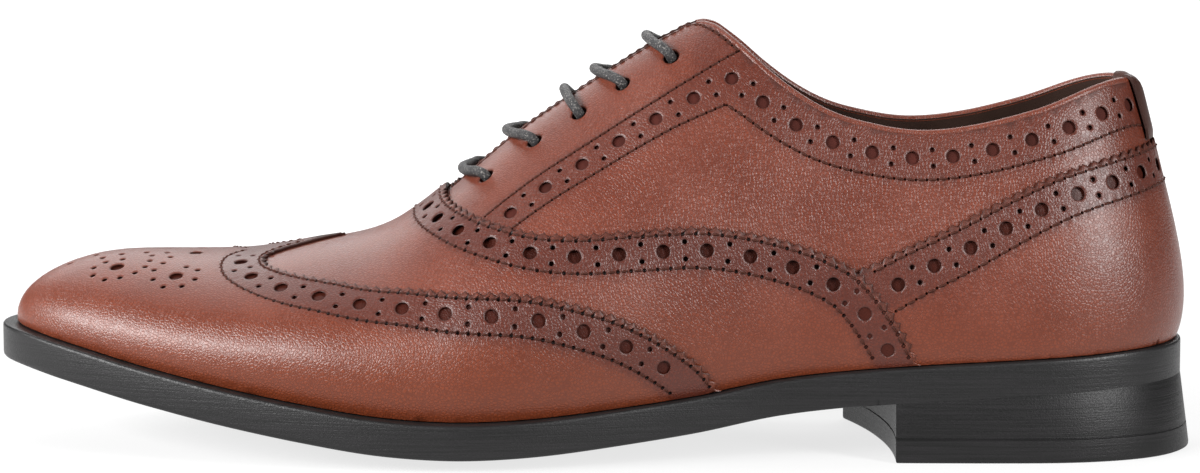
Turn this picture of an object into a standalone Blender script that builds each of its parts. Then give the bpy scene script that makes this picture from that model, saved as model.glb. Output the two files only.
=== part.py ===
"""Men's wing-tip brogue shoe, the left one, as separate closed solids.

Metres, +Z up, floor at z = 0. The toe points to -X, the outer (lateral) side faces -Y.
The origin is on the floor, in the middle of the shoe's length.
"""

import math

import bpy
import numpy as np
from mathutils import Vector
from mathutils.geometry import delaunay_2d_cdt

# Driving sizes
LENGTH = 0.305              # outsole, toe tip to the back of the heel
BALL_WIDTH = 0.1063         # outsole across the ball
INSTEP_HEIGHT = 0.091       # top of the facings above the sole
TOE_SPRING = 0.0183         # rise of the tread at the toe tip
HEEL_HEIGHT = 0.0191        # heel under the sole, at the back
EDGE_RISE = 0.0031          # tread at the sole's edge above the floor, at the ball
TREAD_BITE = 0.0009         # what the flat spot takes off the crowned tread
SOLE_THICKNESS = 0.0087
WELT_LEDGE = 0.0042         # sole seen outside the upper at the toe
TOP_LIFT_THICKNESS = 0.006
HEEL_FLARE = 0.0027         # heel wider at the floor than at the sole, at the back
BREAST_BOW = 0.003          # hollow of the heel's front face
INSOLE_THICKNESS = 0.003
WALL = 0.0020               # quarters with their lining
VAMP_THICKNESS = 0.0013
CAP_THICKNESS = 0.0022      # wing cap with the vamp leather under it
COUNTER_THICKNESS = 0.0009
STRIP_THICKNESS = 0.0012
STRIP_HALF_WIDTH = 0.008
TONGUE_THICKNESS = 0.0016
LACE_DIAMETER = 0.0026
EYELET_DIAMETER = 0.0042
EYELET_INSET = 0.0172       # widest eyelet's centre from the ridge, in the flat pattern
THROAT_GAP_BOTTOM = 0.0016  # between the facings at the vamp
THROAT_GAP_TOP = 0.0080     # between the facings at the top
FIT = 0.0003                # clearance between pieces that meet
SEAM = 0.0004               # clearance between the edges of two overlays
TONGUE_FIT = 0.0007         # clearance between the tongue and the lining

# Where the ribs stop running straight across and fan out round the toe and the heel
TOE_FAN_START = -0.2295 * LENGTH
TOE_FAN_RUN = 0.2885 * LENGTH
HEEL_FAN_START = 0.1967 * LENGTH
HEEL_FAN_RUN = 0.3410 * LENGTH
TOE_TIP = TOE_FAN_START - TOE_FAN_RUN
BACK = HEEL_FAN_START + HEEL_FAN_RUN
GIRTH_FACTOR = 0.8          # flat pattern height of a rib against its height plus its half width
LATERAL = -1.0
MEDIAL = 1.0

# The last, a row for each rib from the toe tip to the back.
# station: share of the length, counted along the ribs
# lateral, medial: half width of the sole, spine: offset of the ridge, shares of the ball width
# ledge: sole outside the base of the upper, share of the welt ledge
# ridge: height of the closed top above the sole, share of the instep height
# lean: degrees that the side leans out at the sole; rise and height: shares of the rib's height
# belly, crown: shares of the rib's half width
LAST_COLUMNS = ("station", "lateral", "medial", "ledge", "spine", "ridge",
                "lean", "rise", "belly", "height", "crown")
LAST_ROWS = (
    (-0.518, 0.360, 0.360, 1.50, 0.042, 0.248, 10.0, 0.46, 0.80, 0.66, 0.54),
    (-0.459, 0.351, 0.356, 1.52, 0.042, 0.251, 14.0, 0.49, 0.80, 0.67, 0.57),
    (-0.400, 0.372, 0.363, 1.57, 0.042, 0.262, 19.0, 0.52, 0.81, 0.69, 0.60),
    (-0.344, 0.410, 0.389, 1.57, 0.040, 0.280, 24.0, 0.55, 0.83, 0.71, 0.61),
    (-0.289, 0.455, 0.427, 1.57, 0.037, 0.309, 26.0, 0.55, 0.88, 0.71, 0.60),
    (-0.230, 0.492, 0.460, 1.57, 0.031, 0.373, 27.0, 0.52, 0.95, 0.69, 0.54),
    (-0.164, 0.515, 0.476, 1.55, 0.024, 0.465, 25.0, 0.45, 0.98, 0.65, 0.48),
    (-0.121, 0.518, 0.468, 1.52, 0.020, 0.578, 23.0, 0.42, 0.95, 0.56, 0.52),
    (-0.066, 0.499, 0.430, 1.48, 0.011, 0.732, 22.0, 0.37, 0.98, 0.57, 0.42),
    (0.000, 0.448, 0.362, 1.33, 0.000, 0.870, 21.0, 0.33, 0.98, 0.61, 0.38),
    (0.066, 0.384, 0.313, 1.19, -0.016, 0.982, 19.5, 0.31, 0.94, 0.60, 0.52),
    (0.131, 0.336, 0.290, 1.05, -0.029, 1.035, 18.0, 0.31, 0.92, 0.61, 0.50),
    (0.197, 0.315, 0.292, 0.95, -0.038, 1.049, 15.0, 0.34, 0.86, 0.57, 0.40),
    (0.262, 0.312, 0.305, 0.76, -0.045, 1.037, 13.0, 0.33, 0.85, 0.55, 0.22),
    (0.328, 0.319, 0.315, 0.62, -0.047, 1.026, 13.5, 0.31, 0.78, 0.60, 0.15),
    (0.400, 0.344, 0.341, 0.57, -0.047, 1.020, 15.0, 0.30, 0.70, 0.64, 0.30),
    (0.469, 0.360, 0.357, 0.55, -0.047, 1.016, 19.0, 0.29, 0.55, 0.66, 0.60),
    (0.538, 0.357, 0.357, 0.55, -0.047, 1.014, 22.0, 0.287, 0.40, 0.676, 0.97),
)

# The tread from the side, a row for each place along the length.
# place: share of the length; toe: share of the toe spring; heel: share of the heel height
# crown: share of the full crown across the tread
TREAD_COLUMNS = ("place", "toe", "heel", "crown")
TREAD_ROWS = (
    (-0.500, 1.000, 0.000, 0.20),
    (-0.439, 0.869, 0.000, 0.45),
    (-0.367, 0.617, 0.000, 0.70),
    (-0.302, 0.399, 0.000, 0.85),
    (-0.236, 0.208, 0.000, 0.95),
    (-0.170, 0.055, 0.000, 1.00),
    (-0.105, 0.000, 0.000, 1.00),
    (-0.043, 0.000, 0.044, 1.00),
    (0.022, 0.000, 0.163, 0.80),
    (0.085, 0.000, 0.313, 0.55),
    (0.151, 0.000, 0.544, 0.30),
    (0.216, 0.000, 0.681, 0.10),
    (0.266, 0.000, 0.756, 0.00),
    (0.328, 0.000, 0.825, 0.00),
    (0.393, 0.000, 0.894, 0.00),
    (0.462, 0.000, 0.975, 0.00),
    (0.500, 0.000, 1.000, 0.00),
)

# Edges drawn on the upper, from the ridge or the back centre outwards.
# station: share of the length; down: share of the rib from the ridge (0) to the sole (1)
WING_EDGE = ((-0.208, 0.00), (-0.236, 0.035), (-0.262, 0.080), (-0.271, 0.13), (-0.269, 0.21),
             (-0.255, 0.28), (-0.230, 0.35), (-0.202, 0.40), (-0.151, 0.48), (-0.085, 0.60),
             (-0.028, 0.69), (0.025, 0.78), (0.066, 0.87), (0.090, 0.94), (0.103, 1.00))
VAMP_EDGE = ((-0.121, 0.00), (-0.120, 0.06), (-0.119, 0.11), (-0.115, 0.17), (-0.101, 0.28),
             (-0.076, 0.40), (-0.040, 0.50), (-0.016, 0.54), (0.034, 0.585), (0.098, 0.635),
             (0.145, 0.69), (0.195, 0.755), (0.216, 0.79), (0.232, 0.835), (0.245, 0.885),
             (0.258, 0.945), (0.267, 1.00))
COUNTER_EDGE = ((0.538, 0.56), (0.521, 0.56), (0.472, 0.567), (0.440, 0.578), (0.405, 0.594),
                (0.376, 0.612), (0.325, 0.660), (0.297, 0.690), (0.251, 0.740), (0.225, 0.775))
TOPLINE = ((0.088, 0.055), (0.097, 0.100), (0.112, 0.190), (0.122, 0.240), (0.145, 0.335),
           (0.169, 0.410), (0.201, 0.450), (0.234, 0.477), (0.277, 0.490), (0.339, 0.485),
           (0.397, 0.460), (0.465, 0.420), (0.510, 0.418), (0.538, 0.437))
TONGUE_EDGE = ((-0.155, 0.00), (-0.155, 0.16), (-0.100, 0.22), (0.000, 0.25), (0.070, 0.25),
               (0.088, 0.19), (0.095, 0.10), (0.097, 0.00))
THROAT_BOTTOM = -0.124      # station of the lowest point of the gap between the facings
FACING_TOP = 0.083          # station where the facing turns into the topline
COUNTER_DROP = 0.012        # the counter's front edge starts this share of a rib under its top one
STRIP_START = 0.012         # the back strip starts this share of a rib under the topline
STRIP_END = 0.008           # and ends this share of a rib over the counter
BACK_RADIUS = 0.75          # radius of the back at the strip, share of the half width at its foot

# The eyelets of each side, from the throat's bottom up.
# station: share of the length; inset: share of the eyelet inset
# slant: how far forward of its eyelets the bar's middle lies, share of the lace slant
EYELET_COLUMNS = ("station", "inset", "slant")
EYELET_ROWS = (
    (-0.089, 0.82, 0.85),
    (-0.049, 0.92, 1.00),
    (-0.012, 1.00, 0.45),
    (0.024, 0.98, 1.00),
    (0.064, 1.00, 0.85),
)

# One half of a lace bar, from its eyelet to the middle.
# reach: share of the eyelet's distance from the ridge; rise: share of the lying bar's height
BAR_ROWS = ((0.985, 0.45), (0.86, 1.00), (0.62, 1.00), (0.35, 1.00), (0.00, 1.00))
LACE_SLANT = 0.0060
LACE_FIT = 0.0006           # clearance between a lying bar and the leather

# Heel
BREAST_LATERAL = 0.246      # place of the breast's corner, share of the length
BREAST_MEDIAL = 0.217
FLARE_FRONT = 0.3           # flare at the breast, share of that at the back

# Fineness of the faceted solids
RIB_STEP = 0.0085
FAN_STEP = 0.0068
EDGE_STEP = 0.0042
DOWN_SHARES = (0.0, 0.05, 0.11, 0.20, 0.31, 0.43, 0.54, 0.64, 0.735, 0.82, 0.90, 0.955)
ACROSS_SHARES = (0.30, 0.60, 0.82)
EYELET_SIDES = 8
FACING_POINTS = 14
STRIP_POINTS = 4
STRIP_ROWS = 4
LACE_BEVEL = 2              # gives a bar eight sides
LACE_STEP = 1.2             # spacing of a bar's points, in lace diameters
BOW_STEPS = 6
PROBE = 0.0002              # step for slopes taken by differences
BISECTIONS = 40
MIN_SPACING = 0.0022        # lattice points closer than this to an edge are dropped
MERGE = 1e-7                # points closer than this are one
SLIVER_AREA = 1e-10         # triangles along a straight edge with no more area than this

COLOURS = {
    "upper": ((0.27, 0.085, 0.050), 0.42),
    "vamp": ((0.25, 0.078, 0.048), 0.42),
    "wing_cap": ((0.23, 0.070, 0.045), 0.40),
    "counter": ((0.24, 0.074, 0.046), 0.42),
    "back_strip": ((0.06, 0.025, 0.018), 0.50),
    "tongue": ((0.20, 0.066, 0.045), 0.50),
    "insole": ((0.055, 0.035, 0.028), 0.65),
    "outsole": ((0.030, 0.029, 0.028), 0.45),
    "heel": ((0.030, 0.029, 0.028), 0.45),
    "top_lift": ((0.024, 0.023, 0.023), 0.55),
    "lace": ((0.055, 0.055, 0.057), 0.60),
}


def clear_scene():
    for item in list(bpy.data.objects):
        bpy.data.objects.remove(item, do_unlink=True)


def column(rows, names, name):
    return np.array([row[names.index(name)] for row in rows], dtype=float)


def flowing(places, values, at):
    """Value of a smooth curve through (places, values), with no overshoot between rows."""
    at = np.clip(at, places[0], places[-1])
    steps = np.diff(places)
    rates = np.diff(values) / steps
    slopes = np.zeros_like(values)
    slopes[1:-1] = (rates[:-1] * steps[1:] + rates[1:] * steps[:-1]) / (steps[1:] + steps[:-1])
    slopes[1:-1][rates[:-1] * rates[1:] <= 0.0] = 0.0
    row = np.clip(np.searchsorted(places, at, side="right") - 1, 0, len(places) - 2)
    step = steps[row]
    t = (at - places[row]) / step
    return ((2 * t**3 - 3 * t**2 + 1) * values[row]
            + (t**3 - 2 * t**2 + t) * step * slopes[row]
            + (3 * t**2 - 2 * t**3) * values[row + 1]
            + (t**3 - t**2) * step * slopes[row + 1])


def last_value(name, station):
    return flowing(column(LAST_ROWS, LAST_COLUMNS, "station") * LENGTH,
                   column(LAST_ROWS, LAST_COLUMNS, name), station)


def tread_value(name, x):
    return flowing(column(TREAD_ROWS, TREAD_COLUMNS, "place") * LENGTH,
                   column(TREAD_ROWS, TREAD_COLUMNS, name), x)


def sole_bottom(x):
    """Height of the tread at the sole's edge."""
    return (EDGE_RISE + TOE_SPRING * tread_value("toe", x)
            + (HEEL_HEIGHT - EDGE_RISE) * tread_value("heel", x))


def sole_top(x):
    return sole_bottom(x) + SOLE_THICKNESS


def rib_frame(station):
    """Foot of a rib on the ridge line, and the rib's direction seen from above."""
    toe = np.clip((TOE_FAN_START - station) / TOE_FAN_RUN, 0.0, 1.0)
    heel = np.clip((station - HEEL_FAN_START) / HEEL_FAN_RUN, 0.0, 1.0)
    x = (np.clip(station, TOE_FAN_START, HEEL_FAN_START)
         - TOE_FAN_RUN * (toe - toe**2 / 2) + HEEL_FAN_RUN * (heel - heel**2 / 2))
    turn = (heel**2 - toe**2) * math.pi / 2
    return x, np.sin(turn), np.cos(turn)


def sole_half_width(station, side):
    lateral = last_value("lateral", station)
    medial = last_value("medial", station)
    return BALL_WIDTH * np.where(np.asarray(side) < 0, lateral, medial)


def feather_half_width(station, side):
    """Half width of the upper's base where it meets the sole."""
    return sole_half_width(station, side) - WELT_LEDGE * last_value("ledge", station)


def spine(station):
    return BALL_WIDTH * last_value("spine", station)


def ridge_height(station):
    x = rib_frame(station)[0]
    return sole_top(x) + INSTEP_HEIGHT * last_value("ridge", station)


def rib_point(station, side, down):
    """Point on the upper's base surface: down is 0 at the ridge and 1 at the sole."""
    x, forward, across = rib_frame(station)
    foot = feather_half_width(station, side)
    low = sole_top(x + forward * foot) + FIT
    high = ridge_height(station)
    tall = high - low
    lean = np.radians(last_value("lean", station))
    rise = last_value("rise", station) * tall
    out = (foot, foot + rise * np.sin(lean), last_value("belly", station) * foot,
           last_value("crown", station) * foot, 0.0)
    up = (low, low + rise * np.cos(lean), low + last_value("height", station) * tall, high, high)
    weights = [math.comb(4, k) * down**(4 - k) * (1 - down)**k for k in range(5)]
    radius = sum(w * r for w, r in zip(weights, out))
    height = sum(w * z for w, z in zip(weights, up))
    return np.stack([x + forward * radius, spine(station) + side * across * radius, height], -1)


def rib_girth(station):
    """Length of a rib in the flat pattern, the same on both sides."""
    x, forward, _ = rib_frame(station)
    foot = (feather_half_width(station, LATERAL) + feather_half_width(station, MEDIAL)) / 2
    return GIRTH_FACTOR * (ridge_height(station) - sole_top(x + forward * foot) + foot)


def to_pattern(station, side, down):
    """Place in the flat pattern: x along the ridge, g out from it, lateral side negative."""
    x, forward, across = rib_frame(station)
    reach = down * rib_girth(station)
    return np.stack([x + forward * reach, side * across * reach], -1)


def from_pattern(x, g):
    side = np.where(g < 0, LATERAL, MEDIAL)
    reach = np.abs(g)
    low = np.full(np.shape(x), TOE_TIP)
    high = np.full(np.shape(x), BACK)
    for _ in range(BISECTIONS):
        middle = (low + high) / 2
        foot, forward, across = rib_frame(middle)
        behind = (x - foot) * across > forward * reach
        low = np.where(behind, middle, low)
        high = np.where(behind, high, middle)
    station = (low + high) / 2
    foot, forward, across = rib_frame(station)
    down = ((x - foot) * forward + reach * across) / rib_girth(station)
    return station, side, np.minimum(down, 1.0)


def base_point(x, g):
    station, side, down = from_pattern(x, g)
    return rib_point(station, side, down)


def leather_point(x, g, lift):
    """Point at a height of lift over the base surface, never into the sole."""
    x = np.asarray(x, dtype=float)
    g = np.asarray(g, dtype=float)
    along = base_point(x + PROBE, g) - base_point(x - PROBE, g)
    over = base_point(x, g + PROBE) - base_point(x, g - PROBE)
    normal = np.cross(along, over)
    normal /= np.linalg.norm(normal, axis=-1, keepdims=True)
    normal[..., 2] = np.maximum(normal[..., 2], 0.0)
    normal /= np.linalg.norm(normal, axis=-1, keepdims=True)
    point = base_point(x, g) + normal * np.asarray(lift)[..., None]
    point[..., 2] = np.maximum(point[..., 2], sole_top(point[..., 0]) + FIT)
    return point


def smooth_path(points, step):
    """Points every step or so along a smooth curve through the given ones."""
    points = np.asarray(points, dtype=float)
    gaps = np.linalg.norm(np.diff(points, axis=0), axis=1)
    marks = np.concatenate([[0.0], np.cumsum(gaps)])
    slopes = np.gradient(points, marks, axis=0)
    count = max(2, int(round(marks[-1] / step)) + 1)
    at = np.linspace(0.0, marks[-1], count)
    row = np.clip(np.searchsorted(marks, at, side="right") - 1, 0, len(marks) - 2)
    span = (marks[row + 1] - marks[row])[:, None]
    t = (at - marks[row])[:, None] / span
    return ((2 * t**3 - 3 * t**2 + 1) * points[row] + (t**3 - 2 * t**2 + t) * span * slopes[row]
            + (3 * t**2 - 2 * t**3) * points[row + 1] + (t**3 - t**2) * span * slopes[row + 1])


def pattern_edge(rows, side):
    """An edge table as a smooth curve in the flat pattern."""
    stations = np.array([row[0] for row in rows]) * LENGTH
    downs = np.array([row[1] for row in rows])
    return smooth_path(to_pattern(stations, LATERAL, downs), EDGE_STEP) * (1.0, -side)


def shifted(curve, distance):
    """The curve moved to its left by a distance in the flat pattern, its ends kept on their rib."""
    along = np.gradient(curve, axis=0)
    along /= np.linalg.norm(along, axis=1, keepdims=True)
    return curve + distance * np.stack([-along[:, 1], along[:, 0]], -1)


def lattice_stations():
    straight = np.arange(TOE_FAN_START, HEEL_FAN_START + RIB_STEP / 2, RIB_STEP)
    toe_count = int(round(TOE_FAN_RUN / FAN_STEP))
    heel_count = int(round(HEEL_FAN_RUN / FAN_STEP))
    toe = np.linspace(TOE_TIP, TOE_FAN_START, toe_count, endpoint=False)
    heel = np.linspace(HEEL_FAN_START, BACK, heel_count + 1)[1:]
    straight = straight[straight < heel[0] - RIB_STEP / 2]
    return np.concatenate([toe, straight, heel])


def lattice():
    """Inner points shared by every sheet of leather, in the flat pattern."""
    stations = lattice_stations()
    points = []
    for down in DOWN_SHARES:
        for side in (LATERAL, MEDIAL):
            inner = stations if down > 0 else stations[stations >= TOE_FAN_START - TOE_FAN_RUN / 2]
            points.append(to_pattern(inner, side, np.full(inner.shape, down)))
    points = np.concatenate(points)
    keys = np.round(points / PROBE).astype(int)
    _, first = np.unique(keys, axis=0, return_index=True)
    return points[np.sort(first)]


def feather_run(start, end, side):
    """Points along the sole joint from one station to another, in the flat pattern."""
    stations = lattice_stations()
    low, high = min(start, end), max(start, end)
    margin = FAN_STEP / 3
    inner = stations[(stations > low + margin) & (stations < high - margin)]
    run = np.concatenate([[low], inner, [high]])
    if end < start:
        run = run[::-1]
    return to_pattern(run, side, np.ones(run.shape))


def chain(*runs):
    """One closed loop from runs that start where the last one ended."""
    points = np.concatenate(runs)
    gaps = np.linalg.norm(points - np.roll(points, 1, axis=0), axis=1)
    return points[gaps > PROBE / 2]


def inside(points, loop):
    """Which of the points lie inside the closed loop."""
    result = np.zeros(len(points), dtype=bool)
    x, y = points[:, 0], points[:, 1]
    for a, b in zip(loop, np.roll(loop, -1, axis=0)):
        if a[1] == b[1]:
            continue
        crosses = (a[1] > y) != (b[1] > y)
        result ^= crosses & (x < (b[0] - a[0]) * (y - a[1]) / (b[1] - a[1]) + a[0])
    return result


def distance_to(points, loop):
    """Distance of each point to the nearest side of the closed loop."""
    best = np.full(len(points), np.inf)
    for a, b in zip(loop, np.roll(loop, -1, axis=0)):
        edge = b - a
        t = np.clip(((points - a) @ edge) / max(edge @ edge, MERGE**2), 0.0, 1.0)
        best = np.minimum(best, np.linalg.norm(points - a - t[:, None] * edge, axis=1))
    return best


def triangulate(loops, inner):
    """Triangles of the region inside the first loop and outside the others."""
    keep = inside(inner, loops[0]) & (distance_to(inner, loops[0]) > MIN_SPACING)
    for hole in loops[1:]:
        keep &= ~inside(inner, hole) & (distance_to(inner, hole) > MIN_SPACING)
    points = np.concatenate(list(loops) + [inner[keep]])
    edges = []
    start = 0
    for loop in loops:
        count = len(loop)
        edges += [(start + i, start + (i + 1) % count) for i in range(count)]
        start += count
    out = delaunay_2d_cdt([Vector(p) for p in points.tolist()], edges, [], 0, MERGE)
    origin = [ids[0] for ids in out[3]]
    faces = np.array([[origin[i] for i in face] for face in out[2]])
    centres = points[faces].mean(axis=1)
    good = inside(centres, loops[0])
    for hole in loops[1:]:
        good &= ~inside(centres, hole)
    a, b, c = points[faces[:, 0]], points[faces[:, 1]], points[faces[:, 2]]
    turn = (b[:, 0] - a[:, 0]) * (c[:, 1] - a[:, 1]) - (b[:, 1] - a[:, 1]) * (c[:, 0] - a[:, 0])
    faces[turn < 0] = faces[turn < 0][:, ::-1]
    return points, faces[good & (np.abs(turn) > SLIVER_AREA)]


def material(name):
    colour, roughness = COLOURS[name]
    made = bpy.data.materials.get(name) or bpy.data.materials.new(name)
    made.use_nodes = True
    shader = made.node_tree.nodes["Principled BSDF"]
    shader.inputs["Base Color"].default_value = (*colour, 1.0)
    shader.inputs["Roughness"].default_value = roughness
    shader.inputs["Metallic"].default_value = 0.0
    return made


def add_solid(name, finish, points, faces):
    mesh = bpy.data.meshes.new(name)
    mesh.from_pydata([tuple(p) for p in points], [], [tuple(f) for f in faces])
    mesh.validate()
    mesh.materials.append(material(finish))
    item = bpy.data.objects.new(name, mesh)
    bpy.context.collection.objects.link(item)
    return item


def close_sheet(upper_points, lower_points, faces):
    """Closed body between two sheets that share their triangles."""
    count = len(upper_points)
    edges = {(f[i], f[(i + 1) % 3]) for f in faces.tolist() for i in range(3)}
    rim = [(a, b) for a, b in edges if (b, a) not in edges]
    shell = [tuple(f) for f in faces.tolist()]
    shell += [(c + count, b + count, a + count) for a, b, c in faces.tolist()]
    shell += [(b, a, a + count, b + count) for a, b in sorted(rim)]
    points = np.concatenate([upper_points, lower_points])
    used = sorted({i for face in shell for i in face})
    place = {old: new for new, old in enumerate(used)}
    return points[used], [tuple(place[i] for i in face) for face in shell]


def leather_solid(name, finish, loops, low, high):
    """A sheet of leather between two heights over the base surface."""
    points, faces = triangulate(loops, lattice())
    x, g = points[:, 0], points[:, 1]
    top = leather_point(x, g, np.full(x.shape, high))
    under = leather_point(x, g, np.full(x.shape, low))
    return add_solid(name, finish, *close_sheet(top, under, faces))


def facing_edge(side):
    """Edge of the throat from its bottom up to the topline, in the flat pattern."""
    steps = np.linspace(0.0, 1.0, FACING_POINTS)
    stations = LENGTH * (THROAT_BOTTOM + (FACING_TOP - THROAT_BOTTOM) * steps)
    half = (THROAT_GAP_BOTTOM + (THROAT_GAP_TOP - THROAT_GAP_BOTTOM) * steps) / 2
    return to_pattern(stations, side, half / rib_girth(stations))


def opening_loop():
    """The throat and the collar as one closed loop."""
    corner = facing_edge(LATERAL)[-1]
    stations = np.array([row[0] for row in TOPLINE]) * LENGTH
    downs = np.array([row[1] for row in TOPLINE])
    route = np.vstack([corner, to_pattern(stations, LATERAL, downs)])
    topline = smooth_path(route, EDGE_STEP)
    lateral = np.vstack([facing_edge(LATERAL), topline])
    medial = lateral[::-1] * (1.0, -1.0)
    throat = to_pattern(np.array([THROAT_BOTTOM * LENGTH - THROAT_GAP_BOTTOM]), LATERAL,
                        np.zeros(1))
    return chain(throat, lateral, medial)


def surface_circle(centre, radius, sides):
    """A round hole's outline in the flat pattern, true to size on the surface."""
    here = base_point(*centre)
    along = (base_point(centre[0] + PROBE, centre[1]) - here) / PROBE
    over = (base_point(centre[0], centre[1] + PROBE) - here) / PROBE
    unit = along / np.linalg.norm(along)
    square = over - (over @ unit) * unit
    square /= np.linalg.norm(square)
    frame = np.array([[along @ unit, over @ unit], [0.0, over @ square]])
    turns = np.arange(sides) * 2 * math.pi / sides
    circle = radius * np.stack([np.cos(turns), np.sin(turns)], -1)
    return np.asarray(centre) + np.linalg.solve(frame, circle.T).T


def eyelet_value(name):
    return column(EYELET_ROWS, EYELET_COLUMNS, name)


def eyelet_centres(side):
    stations = eyelet_value("station") * LENGTH
    return to_pattern(stations, side, EYELET_INSET * eyelet_value("inset") / rib_girth(stations))


def make_upper():
    """Quarters and lining: one hollow shell with the throat, collar and eyelets open."""
    lateral = feather_run(TOE_TIP, BACK, LATERAL)
    medial = feather_run(BACK, TOE_TIP, MEDIAL)
    loops = [chain(lateral, medial), opening_loop()]
    for side in (LATERAL, MEDIAL):
        for centre in eyelet_centres(side):
            loops.append(surface_circle(centre, EYELET_DIAMETER / 2, EYELET_SIDES))
    return leather_solid("upper", "upper", loops, -WALL, 0.0)


def end_station(rows):
    return rows[-1][0] * LENGTH


def make_wing_cap():
    end = end_station(WING_EDGE)
    loop = chain(feather_run(end, TOE_TIP, LATERAL), feather_run(TOE_TIP, end, MEDIAL),
                 pattern_edge(WING_EDGE, MEDIAL)[::-1], pattern_edge(WING_EDGE, LATERAL))
    return leather_solid("wing_cap", "wing_cap", [loop], FIT, FIT + CAP_THICKNESS)


def on_feather(curve):
    """The curve with its last point carried to the sole joint."""
    station, side, _ = from_pattern(curve[-1:, 0], curve[-1:, 1])
    last = to_pattern(station, side, np.ones(1))
    return np.vstack([curve[:-1], last]), float(station[0])


def make_vamp():
    """From the wing cap to the heel breast, over the quarters."""
    wing = pattern_edge(WING_EDGE, LATERAL)
    front, front_end = on_feather(shifted(wing, SEAM))
    front = front[front[:, 1] < -SEAM]
    peak = wing[:1] + (2 * SEAM, 0.0)
    back_end = end_station(VAMP_EDGE)
    back = pattern_edge(VAMP_EDGE, LATERAL)
    mirror = (1.0, -1.0)
    loop = chain(peak, front, feather_run(front_end, back_end, LATERAL), back[::-1],
                 back * mirror, feather_run(back_end, front_end, MEDIAL), front[::-1] * mirror)
    return leather_solid("vamp", "vamp", [loop], FIT, FIT + VAMP_THICKNESS)


def vamp_side_of_counter():
    """The vamp's back edge with the seam's clearance, from the counter's top to the sole."""
    line = shifted(pattern_edge(VAMP_EDGE, LATERAL), SEAM)
    line, end = on_feather(line)
    station, _, down = from_pattern(line[:, 0], line[:, 1])
    below = down > COUNTER_EDGE[-1][1] + COUNTER_DROP
    return line[below], end


def make_counter():
    """Round the heel, between the vamp's ends."""
    mirror = (1.0, -1.0)
    top = pattern_edge(COUNTER_EDGE, LATERAL)
    front, front_end = vamp_side_of_counter()
    loop = chain(top, front, feather_run(front_end, BACK, LATERAL),
                 feather_run(BACK, front_end, MEDIAL), front[::-1] * mirror, top[::-1] * mirror)
    return leather_solid("counter", "counter", [loop], FIT, FIT + COUNTER_THICKNESS)


def make_back_strip():
    """Narrow strip up the back from the counter to the collar."""
    rib_radius = BACK_RADIUS * float(feather_half_width(np.asarray(BACK), LATERAL))
    turn = math.pi / 2 - STRIP_HALF_WIDTH / rib_radius
    start = HEEL_FAN_START + HEEL_FAN_RUN * math.sqrt(turn / (math.pi / 2))
    stations = np.linspace(start, BACK, STRIP_POINTS)
    edges = []
    for rows, clearance in ((TOPLINE, STRIP_START), (COUNTER_EDGE, -STRIP_END)):
        places = np.array([row[0] for row in rows]) * LENGTH
        downs = np.array([row[1] for row in rows])
        order = np.argsort(places)
        down = flowing(places[order], downs[order], stations) + clearance
        edges.append(to_pattern(stations, LATERAL, down))
    top, bottom = edges
    side = np.linspace(top[0], bottom[0], STRIP_ROWS + 2)[1:-1]
    half = np.vstack([top[::-1], side, bottom])
    loop = chain(half, half[::-1] * (1.0, -1.0))
    return leather_solid("back_strip", "back_strip", [loop], FIT, FIT + STRIP_THICKNESS)


def make_tongue():
    edge = pattern_edge(TONGUE_EDGE, LATERAL)
    loop = chain(edge, edge[::-1] * (1.0, -1.0))
    high = -WALL - TONGUE_FIT
    return leather_solid("tongue", "tongue", [loop], high - TONGUE_THICKNESS, high)


def make_lace_bar(index, eyelet, slant):
    """Bar over the throat, its ends turned down into a pair of eyelets."""
    radius = LACE_DIAMETER / 2
    reach = abs(eyelet[1])
    rest = radius + LACE_FIT
    half = [(1.0, FIT - WALL)] + [(share, rest * rise) for share, rise in BAR_ROWS]
    route = []
    for side, rows in ((LATERAL, half), (MEDIAL, half[-2::-1])):
        for share, lift in rows:
            x = eyelet[0] - slant * (1 - share**2)
            route.append(leather_point(x, side * reach * share, lift))
    route = smooth_path(route, LACE_DIAMETER * LACE_STEP)
    curve = bpy.data.curves.new(f"lace_bar_{index}", "CURVE")
    curve.dimensions = "3D"
    curve.bevel_depth = radius
    curve.bevel_resolution = LACE_BEVEL
    curve.use_fill_caps = True
    spline = curve.splines.new("POLY")
    spline.points.add(len(route) - 1)
    for knot, place in zip(spline.points, route):
        knot.co = (*place, 1.0)
    curve.materials.append(material("lace"))
    item = bpy.data.objects.new(f"lace_bar_{index}", curve)
    bpy.context.collection.objects.link(item)
    return item


def plan_point(station, side, half_width, share=1.0):
    """Point seen from above, at a share of the half width out from the spine."""
    x, forward, across = rib_frame(station)
    out = half_width * share
    return np.stack([x + forward * out, spine(station) + side * across * out], -1)


def plate_points(half_width):
    """Outline and inner points of a flat piece, each with its station and share across."""
    stations = lattice_stations()
    loop, inner, inner_share = [], [], []
    loop.append(plan_point(stations, LATERAL, half_width(stations, LATERAL)))
    back = stations[1:-1][::-1]
    loop.append(plan_point(back, MEDIAL, half_width(back, MEDIAL)))
    for share in ACROSS_SHARES:
        for side, run in ((LATERAL, stations), (MEDIAL, back)):
            inner.append(plan_point(run, side, half_width(run, side), share))
            inner_share.append(np.full(run.shape, share))
    return np.concatenate(loop), np.concatenate(inner), np.concatenate(inner_share)


def crowned_bottom(x, share):
    """Tread height: crowned across, with a flat spot where it would pass the floor."""
    crown = (EDGE_RISE + TREAD_BITE) * tread_value("crown", x)
    return np.maximum(sole_bottom(x) - crown * (1 - share**2), 0.0)


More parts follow.
